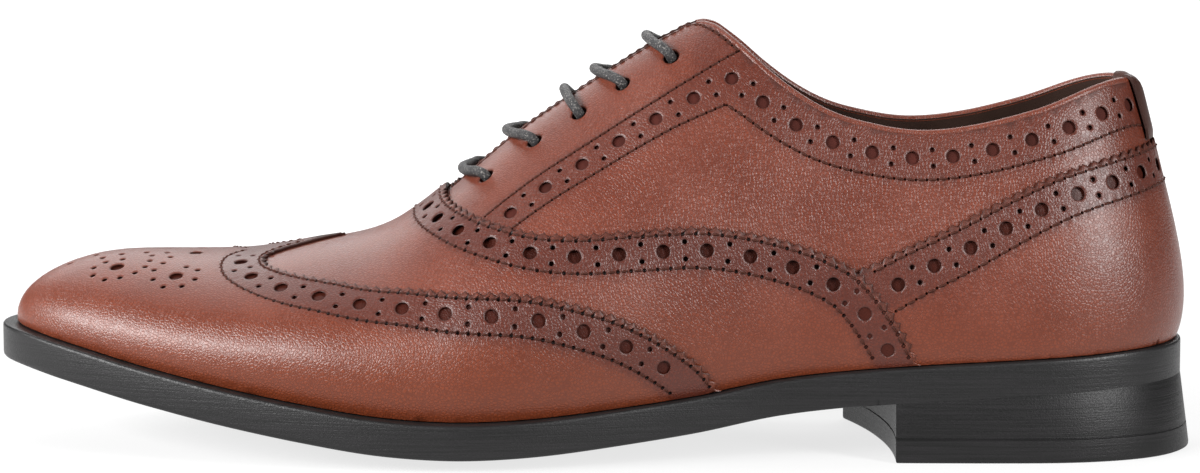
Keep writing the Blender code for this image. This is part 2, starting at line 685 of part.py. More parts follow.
def make_outsole():
    loop, inner, share = plate_points(sole_half_width)
    points, faces = triangulate([loop], inner)
    shares = np.ones(len(points))
    for i, place in enumerate(points[len(loop):], start=len(loop)):
        shares[i] = share[np.argmin(np.linalg.norm(inner - place, axis=1))]
    x = points[:, 0]
    top = np.column_stack([points, sole_top(x)])
    tread = np.column_stack([points, crowned_bottom(x, shares)])
    return add_solid("outsole", "outsole", *close_sheet(top, tread, faces))


def make_insole():
    """Board and sock inside the upper, on the sole."""
    def half_width(station, side):
        return feather_half_width(station, side) - WALL - SEAM
    loop, inner, _ = plate_points(half_width)
    points, faces = triangulate([loop], inner)
    under = np.column_stack([points, sole_top(points[:, 0]) + FIT])
    top = under + (0.0, 0.0, INSOLE_THICKNESS)
    return add_solid("insole", "insole", *close_sheet(top, under, faces))


def station_at(x, side):
    """Station whose point on the sole's edge is at x."""
    low, high = TOE_TIP, BACK
    for _ in range(BISECTIONS):
        middle = (low + high) / 2
        here = plan_point(np.asarray(middle), side, sole_half_width(np.asarray(middle), side))
        if here[0] < x:
            low = middle
        else:
            high = middle
    return middle


def heel_outline(flare):
    """Heel seen from above: the sole's edge behind the breast, and the bowed breast."""
    corners = {LATERAL: BREAST_LATERAL * LENGTH, MEDIAL: BREAST_MEDIAL * LENGTH}
    runs = []
    for side in (LATERAL, MEDIAL):
        start = station_at(corners[side], side)
        run = lattice_stations()
        run = run[run > start + FAN_STEP / 3]
        run = np.concatenate([[start], run])
        behind = np.clip((run - HEEL_FAN_START) / HEEL_FAN_RUN, 0.0, 1.0)
        widen = flare * (FLARE_FRONT + (1 - FLARE_FRONT) * behind**2)
        runs.append(plan_point(run, side, sole_half_width(run, side) + widen))
    lateral, medial = runs
    steps = np.linspace(0.0, 1.0, BOW_STEPS + 1)[1:-1, None]
    breast = medial[0] + (lateral[0] - medial[0]) * steps
    breast[:, 0] += BREAST_BOW * 4 * steps[:, 0] * (1 - steps[:, 0])
    return np.concatenate([lateral, medial[-2::-1], breast])


def prism(name, finish, top_plan, bottom_plan, top, bottom):
    """Closed body between two outlines with the same count of points."""
    _, faces = triangulate([top_plan], np.zeros((0, 2)))
    high = np.column_stack([top_plan, top])
    low = np.column_stack([bottom_plan, bottom])
    return add_solid(name, finish, *close_sheet(high, low, faces))


def make_heel():
    top = heel_outline(0.0)
    share = TOP_LIFT_THICKNESS / HEEL_HEIGHT
    bottom = heel_outline(HEEL_FLARE * (1 - share))
    return prism("heel", "heel", top, bottom, sole_bottom(top[:, 0]) - FIT,
                 np.full(len(top), TOP_LIFT_THICKNESS + FIT))


def make_top_lift():
    share = TOP_LIFT_THICKNESS / HEEL_HEIGHT
    top = heel_outline(HEEL_FLARE * (1 - share))
    bottom = heel_outline(HEEL_FLARE)
    return prism("top_lift", "top_lift", top, bottom, np.full(len(top), TOP_LIFT_THICKNESS),
                 np.zeros(len(top)))


def build():
    clear_scene()
    make_outsole()
    make_heel()
    make_top_lift()
    make_insole()
    make_upper()
    make_wing_cap()
    make_vamp()
    make_counter()
    make_back_strip()
    make_tongue()
    slants = LACE_SLANT * eyelet_value("slant")
    for index, (eyelet, slant) in enumerate(zip(eyelet_centres(LATERAL), slants), start=1):
        make_lace_bar(index, eyelet, slant)


build()
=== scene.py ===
"""Looks of a men's wing-tip brogue, the left shoe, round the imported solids.

Metres, +Z up, floor at z = 0. The toe points to -X, the outer (lateral) side faces -Y.
Every sheet of leather is cut in a flat pattern and laid over the last, as a shoemaker does.
"""

import math

import bpy
import numpy as np
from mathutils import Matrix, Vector
from mathutils.geometry import delaunay_2d_cdt
from mathutils.kdtree import KDTree


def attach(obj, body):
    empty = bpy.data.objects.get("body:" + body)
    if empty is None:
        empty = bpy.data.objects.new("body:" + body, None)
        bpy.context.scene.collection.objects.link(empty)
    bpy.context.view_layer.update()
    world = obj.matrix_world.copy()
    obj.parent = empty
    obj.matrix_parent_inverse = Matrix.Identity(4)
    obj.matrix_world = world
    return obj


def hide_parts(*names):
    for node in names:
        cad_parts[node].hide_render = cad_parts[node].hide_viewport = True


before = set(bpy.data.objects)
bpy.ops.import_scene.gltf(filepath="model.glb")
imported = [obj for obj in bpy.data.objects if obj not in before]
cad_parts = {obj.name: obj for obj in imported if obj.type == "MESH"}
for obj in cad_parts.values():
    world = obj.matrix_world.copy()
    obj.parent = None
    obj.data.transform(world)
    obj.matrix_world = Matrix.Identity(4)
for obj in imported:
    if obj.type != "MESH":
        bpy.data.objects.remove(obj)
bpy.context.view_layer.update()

MM = 0.001
LATERAL = -1.0
MEDIAL = 1.0
MIRROR = (1.0, -1.0)

# Driving sizes, the same as the solids'
LENGTH = 0.305
BALL_WIDTH = 0.1063
INSTEP_HEIGHT = 0.091
TOE_SPRING = 0.0183
HEEL_HEIGHT = 0.0191
EDGE_RISE = 0.0031
TREAD_BITE = 0.0009
SOLE_THICKNESS = 0.0087
WELT_LEDGE = 0.0042
TOP_LIFT_THICKNESS = 0.006
HEEL_FLARE = 0.0027
FLARE_FRONT = 0.3
BREAST_BOW = 0.003
BREAST_LATERAL = 0.246
BREAST_MEDIAL = 0.217
FIT = 0.0003
WALL = 0.0020
TONGUE_FIT = 0.0007
TONGUE_THICKNESS = 0.0016
LACE_DIAMETER = 0.0026
LACE_SLANT = 0.0060
LACE_FIT = 0.0006
# Half a lace bar from an eyelet to the ridge: share of the reach, and share of its rest height
BAR_ROWS = ((0.985, 0.45), (0.86, 1.00), (0.62, 1.00), (0.35, 1.00), (0.00, 1.00))
EYELET_DIAMETER = 0.0042
EYELET_INSET = 0.0172
THROAT_GAP_BOTTOM = 0.0016
THROAT_GAP_TOP = 0.0080
STRIP_HALF_WIDTH = 0.008
BACK_RADIUS = 0.75
TOE_FAN_START = -0.2295 * LENGTH
TOE_FAN_RUN = 0.2885 * LENGTH
HEEL_FAN_START = 0.1967 * LENGTH
HEEL_FAN_RUN = 0.3410 * LENGTH
TOE_TIP = TOE_FAN_START - TOE_FAN_RUN
BACK = HEEL_FAN_START + HEEL_FAN_RUN
GIRTH_FACTOR = 0.8

# The last, a row for each rib from the toe tip to the back, as in the solids.
LAST_COLUMNS = ("station", "lateral", "medial", "ledge", "spine", "ridge",
                "lean", "rise", "belly", "height", "crown")
LAST_ROWS = (
    (-0.518, 0.360, 0.360, 1.50, 0.042, 0.248, 10.0, 0.46, 0.80, 0.66, 0.54),
    (-0.459, 0.351, 0.356, 1.52, 0.042, 0.251, 14.0, 0.49, 0.80, 0.67, 0.57),
    (-0.400, 0.372, 0.363, 1.57, 0.042, 0.262, 19.0, 0.52, 0.81, 0.69, 0.60),
    (-0.344, 0.410, 0.389, 1.57, 0.040, 0.280, 24.0, 0.55, 0.83, 0.71, 0.61),
    (-0.289, 0.455, 0.427, 1.57, 0.037, 0.309, 26.0, 0.55, 0.88, 0.71, 0.60),
    (-0.230, 0.492, 0.460, 1.57, 0.031, 0.373, 27.0, 0.52, 0.95, 0.69, 0.54),
    (-0.164, 0.515, 0.476, 1.55, 0.024, 0.465, 25.0, 0.45, 0.98, 0.65, 0.48),
    (-0.121, 0.518, 0.468, 1.52, 0.020, 0.578, 23.0, 0.42, 0.95, 0.56, 0.52),
    (-0.066, 0.499, 0.430, 1.48, 0.011, 0.732, 22.0, 0.37, 0.98, 0.57, 0.42),
    (0.000, 0.448, 0.362, 1.33, 0.000, 0.870, 21.0, 0.33, 0.98, 0.61, 0.38),
    (0.066, 0.384, 0.313, 1.19, -0.016, 0.982, 19.5, 0.31, 0.94, 0.60, 0.52),
    (0.131, 0.336, 0.290, 1.05, -0.029, 1.035, 18.0, 0.31, 0.92, 0.61, 0.50),
    (0.197, 0.315, 0.292, 0.95, -0.038, 1.049, 15.0, 0.34, 0.86, 0.57, 0.40),
    (0.262, 0.312, 0.305, 0.76, -0.045, 1.037, 13.0, 0.33, 0.85, 0.55, 0.22),
    (0.328, 0.319, 0.315, 0.62, -0.047, 1.026, 13.5, 0.31, 0.78, 0.60, 0.15),
    (0.400, 0.344, 0.341, 0.57, -0.047, 1.020, 15.0, 0.30, 0.70, 0.64, 0.30),
    (0.469, 0.360, 0.357, 0.55, -0.047, 1.016, 19.0, 0.29, 0.55, 0.66, 0.60),
    (0.538, 0.357, 0.357, 0.55, -0.047, 1.014, 22.0, 0.287, 0.40, 0.676, 0.97),
)
TREAD_COLUMNS = ("place", "toe", "heel", "crown")
TREAD_ROWS = (
    (-0.500, 1.000, 0.000, 0.20),
    (-0.439, 0.869, 0.000, 0.45),
    (-0.367, 0.617, 0.000, 0.70),
    (-0.302, 0.399, 0.000, 0.85),
    (-0.236, 0.208, 0.000, 0.95),
    (-0.170, 0.055, 0.000, 1.00),
    (-0.105, 0.000, 0.000, 1.00),
    (-0.043, 0.000, 0.044, 1.00),
    (0.022, 0.000, 0.163, 0.80),
    (0.085, 0.000, 0.313, 0.55),
    (0.151, 0.000, 0.544, 0.30),
    (0.216, 0.000, 0.681, 0.10),
    (0.266, 0.000, 0.756, 0.00),
    (0.328, 0.000, 0.825, 0.00),
    (0.393, 0.000, 0.894, 0.00),
    (0.462, 0.000, 0.975, 0.00),
    (0.500, 0.000, 1.000, 0.00),
)

# Edges on the upper, from the ridge or the back outwards: station and share down the rib. The
# topline dips a little more smoothly than the solids' does.
WING_EDGE = ((-0.208, 0.00), (-0.236, 0.035), (-0.262, 0.080), (-0.271, 0.13), (-0.269, 0.21),
             (-0.255, 0.28), (-0.230, 0.35), (-0.202, 0.40), (-0.151, 0.48), (-0.085, 0.60),
             (-0.028, 0.69), (0.025, 0.78), (0.066, 0.87), (0.090, 0.94), (0.103, 1.00))
VAMP_EDGE = ((-0.121, 0.00), (-0.120, 0.06), (-0.119, 0.11), (-0.115, 0.17), (-0.101, 0.28),
             (-0.076, 0.40), (-0.040, 0.50), (-0.016, 0.54), (0.034, 0.585), (0.098, 0.635),
             (0.145, 0.69), (0.195, 0.755), (0.216, 0.79), (0.232, 0.835), (0.245, 0.885),
             (0.258, 0.945), (0.267, 1.00))
COUNTER_EDGE = ((0.538, 0.56), (0.521, 0.56), (0.472, 0.567), (0.440, 0.578), (0.405, 0.594),
                (0.376, 0.612), (0.325, 0.660), (0.297, 0.690), (0.251, 0.740), (0.225, 0.775))
COUNTER_FRONT = ((0.228, 0.770), (0.200, 0.797))
TOPLINE = ((0.088, 0.055), (0.097, 0.100), (0.112, 0.190), (0.122, 0.240), (0.145, 0.335),
           (0.169, 0.400), (0.201, 0.453), (0.234, 0.477), (0.277, 0.490), (0.339, 0.485),
           (0.397, 0.460), (0.465, 0.420), (0.510, 0.418), (0.538, 0.437))
TONGUE_EDGE = ((-0.155, 0.00), (-0.155, 0.16), (-0.100, 0.22), (0.000, 0.25), (0.070, 0.25),
               (0.088, 0.19), (0.095, 0.10), (0.097, 0.00))
THROAT_BOTTOM = -0.124
FACING_TOP = 0.083
EYELET_COLUMNS = ("station", "inset", "slant")
EYELET_ROWS = (
    (-0.089, 0.82, 0.85),
    (-0.049, 0.92, 1.00),
    (-0.012, 1.00, 0.45),
    (0.024, 0.98, 1.00),
    (0.064, 1.00, 0.85),
)
# Centre line of the punched band beside the facing, in mm of the flat pattern
EYESTAY_LINE = ((-24.5, -33.2), (-13.0, -33.2), (0.0, -33.6), (12.0, -33.2), (24.0, -32.4),
                (38.5, -31.0))
# Where the collar's lower row of stitches starts, in mm of the flat pattern
COLLAR_CORNER = (33.2, -37.4)
# Where the facing's stitches turn down at its top corner, in mm of the flat pattern
CORNER_STITCHES = ((22.5, -5.0), (25.5, -6.6), (28.2, -11.1), (31.6, -17.0), (34.8, -22.4),
                   (36.4, -24.8))

# Heights of the leathers over the last
QUARTER_TOP = 0.0
VAMP_TOP = FIT + 0.0013
CAP_TOP = FIT + 0.0022
COUNTER_TOP = FIT + 0.0009
# Thickness of each sheet
QUARTER_THICKNESS = 0.0010
UNDERLAY_THICKNESS = 0.0003
VAMP_THICKNESS = 0.0010
CAP_THICKNESS = 0.0013

# Brogueing, in mm: distances are from the edge of each band
GRID = 2.2
BIG_HOLE = 3.4
SMALL_HOLE = 1.25
NEAR_STITCH = 2.1
SMALL_STEP = 2.1
BIG_ROW = 6.1
FAR_STITCH = 10.4
PINK_PITCH = 3.0
PINK_DEPTH = 1.25
EDGE_BAND = 0.5
PEAK_WIDTH = 14.0
# Darkness at the cut edges: dark edge dye with painted shade.
EDGE_DYE_AND_SHADE = 0.8
HOLE_RIMS = (0.32, 0.70)
BIG_SIDES = 16
SMALL_SIDES = 10
# Bands: place of the first big hole along the edge, pitch of the big holes, pitch of the stitches
VAMP_BAND = (9.3, 10.9, 3.3)
WING_BAND = (14.8, 11.2, 2.55)
COUNTER_BAND = (6.9, 10.0, 2.9)
# How a band widens along its length: share of the length, and factor on the distances
STEADY = ((0.0, 1.0), (1.0, 1.0))
WING_SPREAD = ((0.0, 0.92), (0.10, 1.02), (0.22, 1.18), (0.36, 1.18), (0.50, 1.06), (0.70, 1.0),
               (1.0, 1.05))
COUNTER_SPREAD = ((0.0, 1.03), (0.4, 1.10), (0.75, 1.18), (1.0, 1.27))
COLLAR_SPREAD = ((0.0, 1.08), (0.35, 1.04), (1.0, 0.96))
EYESTAY_SPREAD = ((0.0, 1.0), (0.7, 1.0), (1.0, 1.35))
# Stitches: radius of the needle hole, thread width, bare share at each end, sideways slant
PRICKED = {"prick": 0.40, "width": 0.54, "bare": 0.14, "slant": 0.0}
DASHED = {"prick": 0.24, "width": 0.62, "bare": 0.08, "slant": 0.14}

# The lace: depth and flattened half sizes under the facings in mm, and its way from row to row:
# row, side it starts on, next row, bow outward in mm
LACE_DEPTH = 2.36
LACE_FLAT = (1.6, 0.3)
LACE_STEPS = ((4, 1.0, 2, 3.4), (2, -1.0, 0, 3.4), (0, 1.0, 1, 0.6), (1, -1.0, 3, -3.4),
              (3, 1.0, None, 0.0))
# The bar tack, in mm: places of its threads behind the throat's end, half length and radius
TACK_PLACES = (3.4, 4.2, 5.0)
TACK_REACH = 3.4
TACK_RADIUS = 0.34
TACK_POINTS = 18

# Spacing of points, steps of searches, and angles in degrees up to which faces shade as one
CURVE_STEP = 1.0 * MM
LINING_GRID = 3.4
PATTERN_BISECTIONS = 26
EDGE_BISECTIONS = 40
CORD_ANGLE = 80
RUBBER_ANGLE = 50
WALL_ANGLE = 48

# Glow of the sky and the light table, and where the table's front and back glow fade in
SKY_GLOW = 0.07
TABLE_GLOW = 0.76
TABLE_FRONT = (-0.13, -0.055)
TABLE_BACK = (0.15, 0.60)
# Soft boxes: name, turn and rise in degrees, distance, size, power
SOFT_BOXES = (
    ("left_box", -60.0, 22.0, 1.15, (1.30, 0.36), 33.0),
    ("right_box", 48.0, 22.0, 1.15, (0.28, 0.60), 14.5),
    ("back_box", 180.0, 66.0, 1.0, (1.2, 0.7), 5.0),
    ("back_low_box", 180.0, 28.0, 1.2, (1.6, 0.4), 6.5),
)


def clamp(value):
    return np.clip(value, 0.0, 1.0)


def smoothstep(low, high, value):
    t = clamp((value - low) / (high - low))
    return t * t * (3 - 2 * t)


def column(rows, names, name):
    return np.array([row[names.index(name)] for row in rows], dtype=float)


def hermite(t, span, first, first_slope, last, last_slope):
    """Cubic curve between two values with the given slopes."""
    return ((2 * t**3 - 3 * t**2 + 1) * first + (t**3 - 2 * t**2 + t) * span * first_slope
            + (3 * t**2 - 2 * t**3) * last + (t**3 - t**2) * span * last_slope)


def flowing(places, values, at):
    """Value of a smooth curve through (places, values), with no overshoot between rows."""
    at = np.clip(at, places[0], places[-1])
    steps = np.diff(places)
    rates = np.diff(values) / steps
    slopes = np.zeros_like(values)
    slopes[1:-1] = (rates[:-1] * steps[1:] + rates[1:] * steps[:-1]) / (steps[1:] + steps[:-1])
    slopes[1:-1][rates[:-1] * rates[1:] <= 0.0] = 0.0
    row = np.clip(np.searchsorted(places, at, side="right") - 1, 0, len(places) - 2)
    step = steps[row]
    t = (at - places[row]) / step
    return hermite(t, step, values[row], slopes[row], values[row + 1], slopes[row + 1])


def last_value(name, station):
    return flowing(column(LAST_ROWS, LAST_COLUMNS, "station") * LENGTH,
                   column(LAST_ROWS, LAST_COLUMNS, name), station)


def tread_value(name, x):
    return flowing(column(TREAD_ROWS, TREAD_COLUMNS, "place") * LENGTH,
                   column(TREAD_ROWS, TREAD_COLUMNS, name), x)


def sole_bottom(x):
    return (EDGE_RISE + TOE_SPRING * tread_value("toe", x)
            + (HEEL_HEIGHT - EDGE_RISE) * tread_value("heel", x))


def sole_top(x):
    return sole_bottom(x) + SOLE_THICKNESS


def rib_frame(station):
    toe = clamp((TOE_FAN_START - station) / TOE_FAN_RUN)
    heel = clamp((station - HEEL_FAN_START) / HEEL_FAN_RUN)
    x = (np.clip(station, TOE_FAN_START, HEEL_FAN_START)
         - TOE_FAN_RUN * (toe - toe**2 / 2) + HEEL_FAN_RUN * (heel - heel**2 / 2))
    turn = (heel**2 - toe**2) * math.pi / 2
    return x, np.sin(turn), np.cos(turn)


def sole_half_width(station, side):
    return BALL_WIDTH * np.where(np.asarray(side) < 0, last_value("lateral", station),
                                 last_value("medial", station))


def feather_half_width(station, side):
    return sole_half_width(station, side) - WELT_LEDGE * last_value("ledge", station)


def spine(station):
    return BALL_WIDTH * last_value("spine", station)


def ridge_height(station):
    return sole_top(rib_frame(station)[0]) + INSTEP_HEIGHT * last_value("ridge", station)


def rib_point(station, side, down):
    """Point on the last: down is 0 at the ridge and 1 at the sole."""
    x, forward, across = rib_frame(station)
    foot = feather_half_width(station, side)
    low = sole_top(x + forward * foot) + FIT
    high = ridge_height(station)
    tall = high - low
    lean = np.radians(last_value("lean", station))
    rise = last_value("rise", station) * tall
    out = (foot, foot + rise * np.sin(lean), last_value("belly", station) * foot,
           last_value("crown", station) * foot, 0.0)
    up = (low, low + rise * np.cos(lean), low + last_value("height", station) * tall, high, high)
    weights = [math.comb(4, k) * down**(4 - k) * (1 - down)**k for k in range(5)]
    radius = sum(w * r for w, r in zip(weights, out))
    height = sum(w * z for w, z in zip(weights, up))
    return np.stack([x + forward * radius, spine(station) + side * across * radius, height], -1)


def rib_girth(station):
    x, forward, _ = rib_frame(station)
    foot = (feather_half_width(station, LATERAL) + feather_half_width(station, MEDIAL)) / 2
    return GIRTH_FACTOR * (ridge_height(station) - sole_top(x + forward * foot) + foot)


def to_pattern(station, side, down):
    x, forward, across = rib_frame(station)
    reach = down * rib_girth(station)
    return np.stack([x + forward * reach, side * across * reach], -1)


def from_pattern(x, g):
    side = np.where(g < 0, LATERAL, MEDIAL)
    reach = np.abs(g)
    low = np.full(np.shape(x), TOE_TIP)
    high = np.full(np.shape(x), BACK)
    for _ in range(PATTERN_BISECTIONS):
        middle = (low + high) / 2
        foot, forward, across = rib_frame(middle)
        behind = (x - foot) * across > forward * reach
        low = np.where(behind, middle, low)
        high = np.where(behind, high, middle)
    station = (low + high) / 2
    foot, forward, across = rib_frame(station)
    down = ((x - foot) * forward + reach * across) / rib_girth(station)
    return station, side, down


def base_point(x, g):
    station, side, down = from_pattern(x, g)
    return rib_point(station, side, np.minimum(down, 1.0))


def open_point(x, g):
    """Like base_point, but running on past the sole joint."""
    return rib_point(*from_pattern(x, g))


def unit(vectors):
    return vectors / np.linalg.norm(vectors, axis=-1, keepdims=True)


def slopes_at(x, g):
    """How the last runs at a place of the pattern: along x, along g, and the normal."""
    probe = 0.2 * MM
    along = (open_point(x + probe, g) - open_point(x - probe, g)) / (2 * probe)
    over = (open_point(x, g + probe) - open_point(x, g - probe)) / (2 * probe)
    normal = unit(np.cross(along, over))
    normal[..., 2] = np.maximum(normal[..., 2], 0.0)
    return along, over, unit(normal)


def leather_point(x, g, lift):
    """Point at a height of lift over the last, never into the sole."""
    x = np.asarray(x, dtype=float)
    g = np.asarray(g, dtype=float)
    normal = slopes_at(x, g)[2]
    point = base_point(x, g) + normal * np.asarray(lift, dtype=float)[..., None]
    point[..., 2] = np.maximum(point[..., 2], sole_top(point[..., 0]) + FIT)
    return point


def smooth_path(points, step):
    """Points every step or so along a smooth curve through the given ones."""
    points = np.asarray(points, dtype=float)
    gaps = np.linalg.norm(np.diff(points, axis=0), axis=1)
    marks = np.concatenate([[0.0], np.cumsum(gaps)])
    slopes = np.gradient(points, marks, axis=0)
    count = max(2, int(round(marks[-1] / step)) + 1)
    at = np.linspace(0.0, marks[-1], count)
    row = np.clip(np.searchsorted(marks, at, side="right") - 1, 0, len(marks) - 2)
    span = (marks[row + 1] - marks[row])[:, None]
    t = (at - marks[row])[:, None] / span
    return hermite(t, span, points[row], slopes[row], points[row + 1], slopes[row + 1])


def edge_table(rows):
    stations, downs = np.array(rows).T
    return stations * LENGTH, downs


def pattern_edge(rows):
    """An edge table as a smooth curve in the flat pattern, on the lateral side."""
    stations, downs = edge_table(rows)
    return smooth_path(to_pattern(stations, LATERAL, downs), CURVE_STEP)


def across_curve(curve):
    """Step in the pattern that moves a curve's points 1 m to the left over the leather."""
    along, over, normal = slopes_at(curve[:, 0], curve[:, 1])
    way = unit(np.gradient(curve, axis=0))
    tangent = unit(along * way[:, :1] + over * way[:, 1:])
    left = np.cross(normal, tangent)
    aa = np.sum(along * along, -1)
    ab = np.sum(along * over, -1)
    bb = np.sum(over * over, -1)
    ra = np.sum(along * left, -1)
    rb = np.sum(over * left, -1)
    det = aa * bb - ab * ab
    return np.stack([(ra * bb - rb * ab) / det, (rb * aa - ra * ab) / det], -1)


def beside(curve, distance, spread=STEADY):
    """The curve moved to its left by a true distance, times the spread along it."""
    shares, factors = np.array(spread).T
    steps = max(1, int(math.ceil(abs(distance) / (2.6 * MM))))
    moved = even(curve, CURVE_STEP)
    for _ in range(steps):
        factor = np.interp(np.linspace(0.0, 1.0, len(moved)), shares, factors)
        moved = moved + across_curve(moved) * (distance / steps * factor)[:, None]
        moved = even(moved, CURVE_STEP)
    return moved


def arc_marks(curve):
    points = open_point(curve[:, 0], curve[:, 1])
    return np.concatenate([[0.0], np.cumsum(np.linalg.norm(np.diff(points, axis=0), axis=1))])


def at_marks(curve, marks, places):
    return np.stack([np.interp(places, marks, curve[:, 0]), np.interp(places, marks, curve[:, 1])], -1)


def even(curve, step):
    """The curve with points about a step apart, measured over the leather."""
    marks = arc_marks(curve)
    count = max(3, int(round(marks[-1] / step)) + 1)
    return at_marks(curve, marks, np.linspace(0.0, marks[-1], count))


def lateral_part(curve):
    """The points of the curve on the lateral side and over the sole."""
    down = from_pattern(curve[:, 0], curve[:, 1])[2]
    return curve[(curve[:, 1] < -1.2 * MM) & (down < 0.985)]


def pinked(curve, side):
    """A pinked edge: teeth cut along the curve with their tips on it, and a line just inside them."""
    marks = arc_marks(curve)
    teeth = int(round(marks[-1] / (PINK_PITCH * MM)))
    per_tooth = 6
    places = np.linspace(0.0, marks[-1], teeth * per_tooth + 1)
    phase = np.arange(teeth * per_tooth + 1) % per_tooth / per_tooth
    fine = at_marks(curve, marks, places)
    depth = (1 - np.abs(2 * phase - 1)) ** 0.8 * PINK_DEPTH * MM
    depth = side * depth * smoothstep(3.0 * MM, 7.0 * MM, np.abs(fine[:, 1]))
    left = across_curve(fine)
    edge = fine + left * depth[:, None]
    return edge, edge + left * side * EDGE_BAND * MM


def circle(centre, radius, sides):
    """A round hole's outline in the flat pattern, true to size on the leather."""
    along, over, _ = slopes_at(np.array([centre[0]]), np.array([centre[1]]))
    along, over = along[0], over[0]
    first = along / np.linalg.norm(along)
    square = over - (over @ first) * first
    square /= np.linalg.norm(square)
    flat = np.array([[along @ first, over @ first], [0.0, over @ square]])
    turns = np.arange(sides) * 2 * math.pi / sides
    ring = radius * np.stack([np.cos(turns), np.sin(turns)], -1)
    return np.asarray(centre) + np.linalg.solve(flat, ring.T).T


def inside(points, loop):
    result = np.zeros(len(points), dtype=bool)
    x, y = points[:, 0], points[:, 1]
    for a, b in zip(loop, np.roll(loop, -1, axis=0)):
        if a[1] == b[1]:
            continue
        crosses = (a[1] > y) != (b[1] > y)
        result ^= crosses & (x < (b[0] - a[0]) * (y - a[1]) / (b[1] - a[1]) + a[0])
    return result


def nearest(points, others):
    """Distance of each point to the nearest of the others."""
    tree = KDTree(len(others))
    for i, place in enumerate(others):
        tree.insert(Vector((*place, 0.0)[:3]), i)
    tree.balance()
    return np.array([tree.find(Vector((*p, 0.0)[:3]))[2] for p in points])


def on_both_sides(points):
    return np.vstack([points, points * MIRROR])


class Cut:
    """What is cut and sewn in one sheet: holes, stitches and lines to keep, in the flat pattern."""

    def __init__(self):
        self.holes = []
        self.stitches = []
        self.lines = []

    # A line of points kept in the sheet and darkened by the given share: dark edge dye with painted shade.
    def line(self, points, dark):
        self.lines += [(points, dark), (points * MIRROR, dark)]

    def hole(self, centres, diameter, sides):
        radius = diameter / 2 * MM
        for centre in np.asarray(centres):
            station, _, down = from_pattern(*centre)
            clear = (1 - down) * rib_girth(station) > radius + 1.0 * MM
            if clear and abs(centre[1]) > radius + 0.6 * MM:
                self.holes.append((centre, radius, sides))
                self.holes.append((centre * MIRROR, radius, sides))

    def stitch_row(self, curve, pitch, style):
        marks = arc_marks(curve)
        count = max(2, int(round(marks[-1] / (pitch * MM))))
        row = at_marks(curve, marks, np.arange(count + 1) * marks[-1] / count)
        self.stitches += [(row, style), (row * MIRROR, style)]

    def punches(self, middle, first, pitch):
        """A row of big holes, with a pair of small ones between each two."""
        marks = arc_marks(middle)
        count = int((marks[-1] / MM - first) / pitch) + 1
        places = (first + np.arange(count) * pitch) * MM
        self.hole(at_marks(middle, marks, places), BIG_HOLE, BIG_SIDES)
        between = places - pitch / 2 * MM
        between = between[between > 2.0 * MM]
        spots = at_marks(middle, marks, between)
        turned = at_marks(across_curve(middle), marks, between) * SMALL_STEP * MM
        self.hole(spots + turned, SMALL_HOLE, SMALL_SIDES)
        self.hole(spots - turned, SMALL_HOLE, SMALL_SIDES)

    def band(self, edge, side, first, pitch, stitch, style, spread=STEADY):
        """Punched band along an edge: holes between two rows of stitches."""
        self.punches(lateral_part(beside(edge, side * BIG_ROW * MM, spread)), first, pitch)
        near = lateral_part(beside(edge, side * NEAR_STITCH * MM))
        far = lateral_part(beside(edge, side * FAR_STITCH * MM, spread))
        self.stitch_row(near, stitch, style)
        self.stitch_row(far, stitch, style)


def feather_run(start, end, side):
    count = max(2, int(abs(end - start) / (2.0 * MM)))
    run = np.linspace(start, end, count)
    return to_pattern(run, side, np.ones(run.shape))


def chain(*runs):
    points = np.concatenate(runs)
    gaps = np.linalg.norm(points - np.roll(points, 1, axis=0), axis=1)
    return points[gaps > 0.05 * MM]


def inner_grid(loop, grid):
    """A grid of points in rows of triangles inside the loop."""
    low, high = loop.min(axis=0), loop.max(axis=0)
    lattice = []
    for i, g in enumerate(np.arange(low[1], high[1], grid * math.sqrt(3) / 2)):
        x = np.arange(low[0] + (i % 2) * grid / 2, high[0], grid)
        lattice.append(np.stack([x, np.full(x.shape, g)], -1))
    lattice = np.concatenate(lattice)
    return lattice[inside(lattice, loop)]


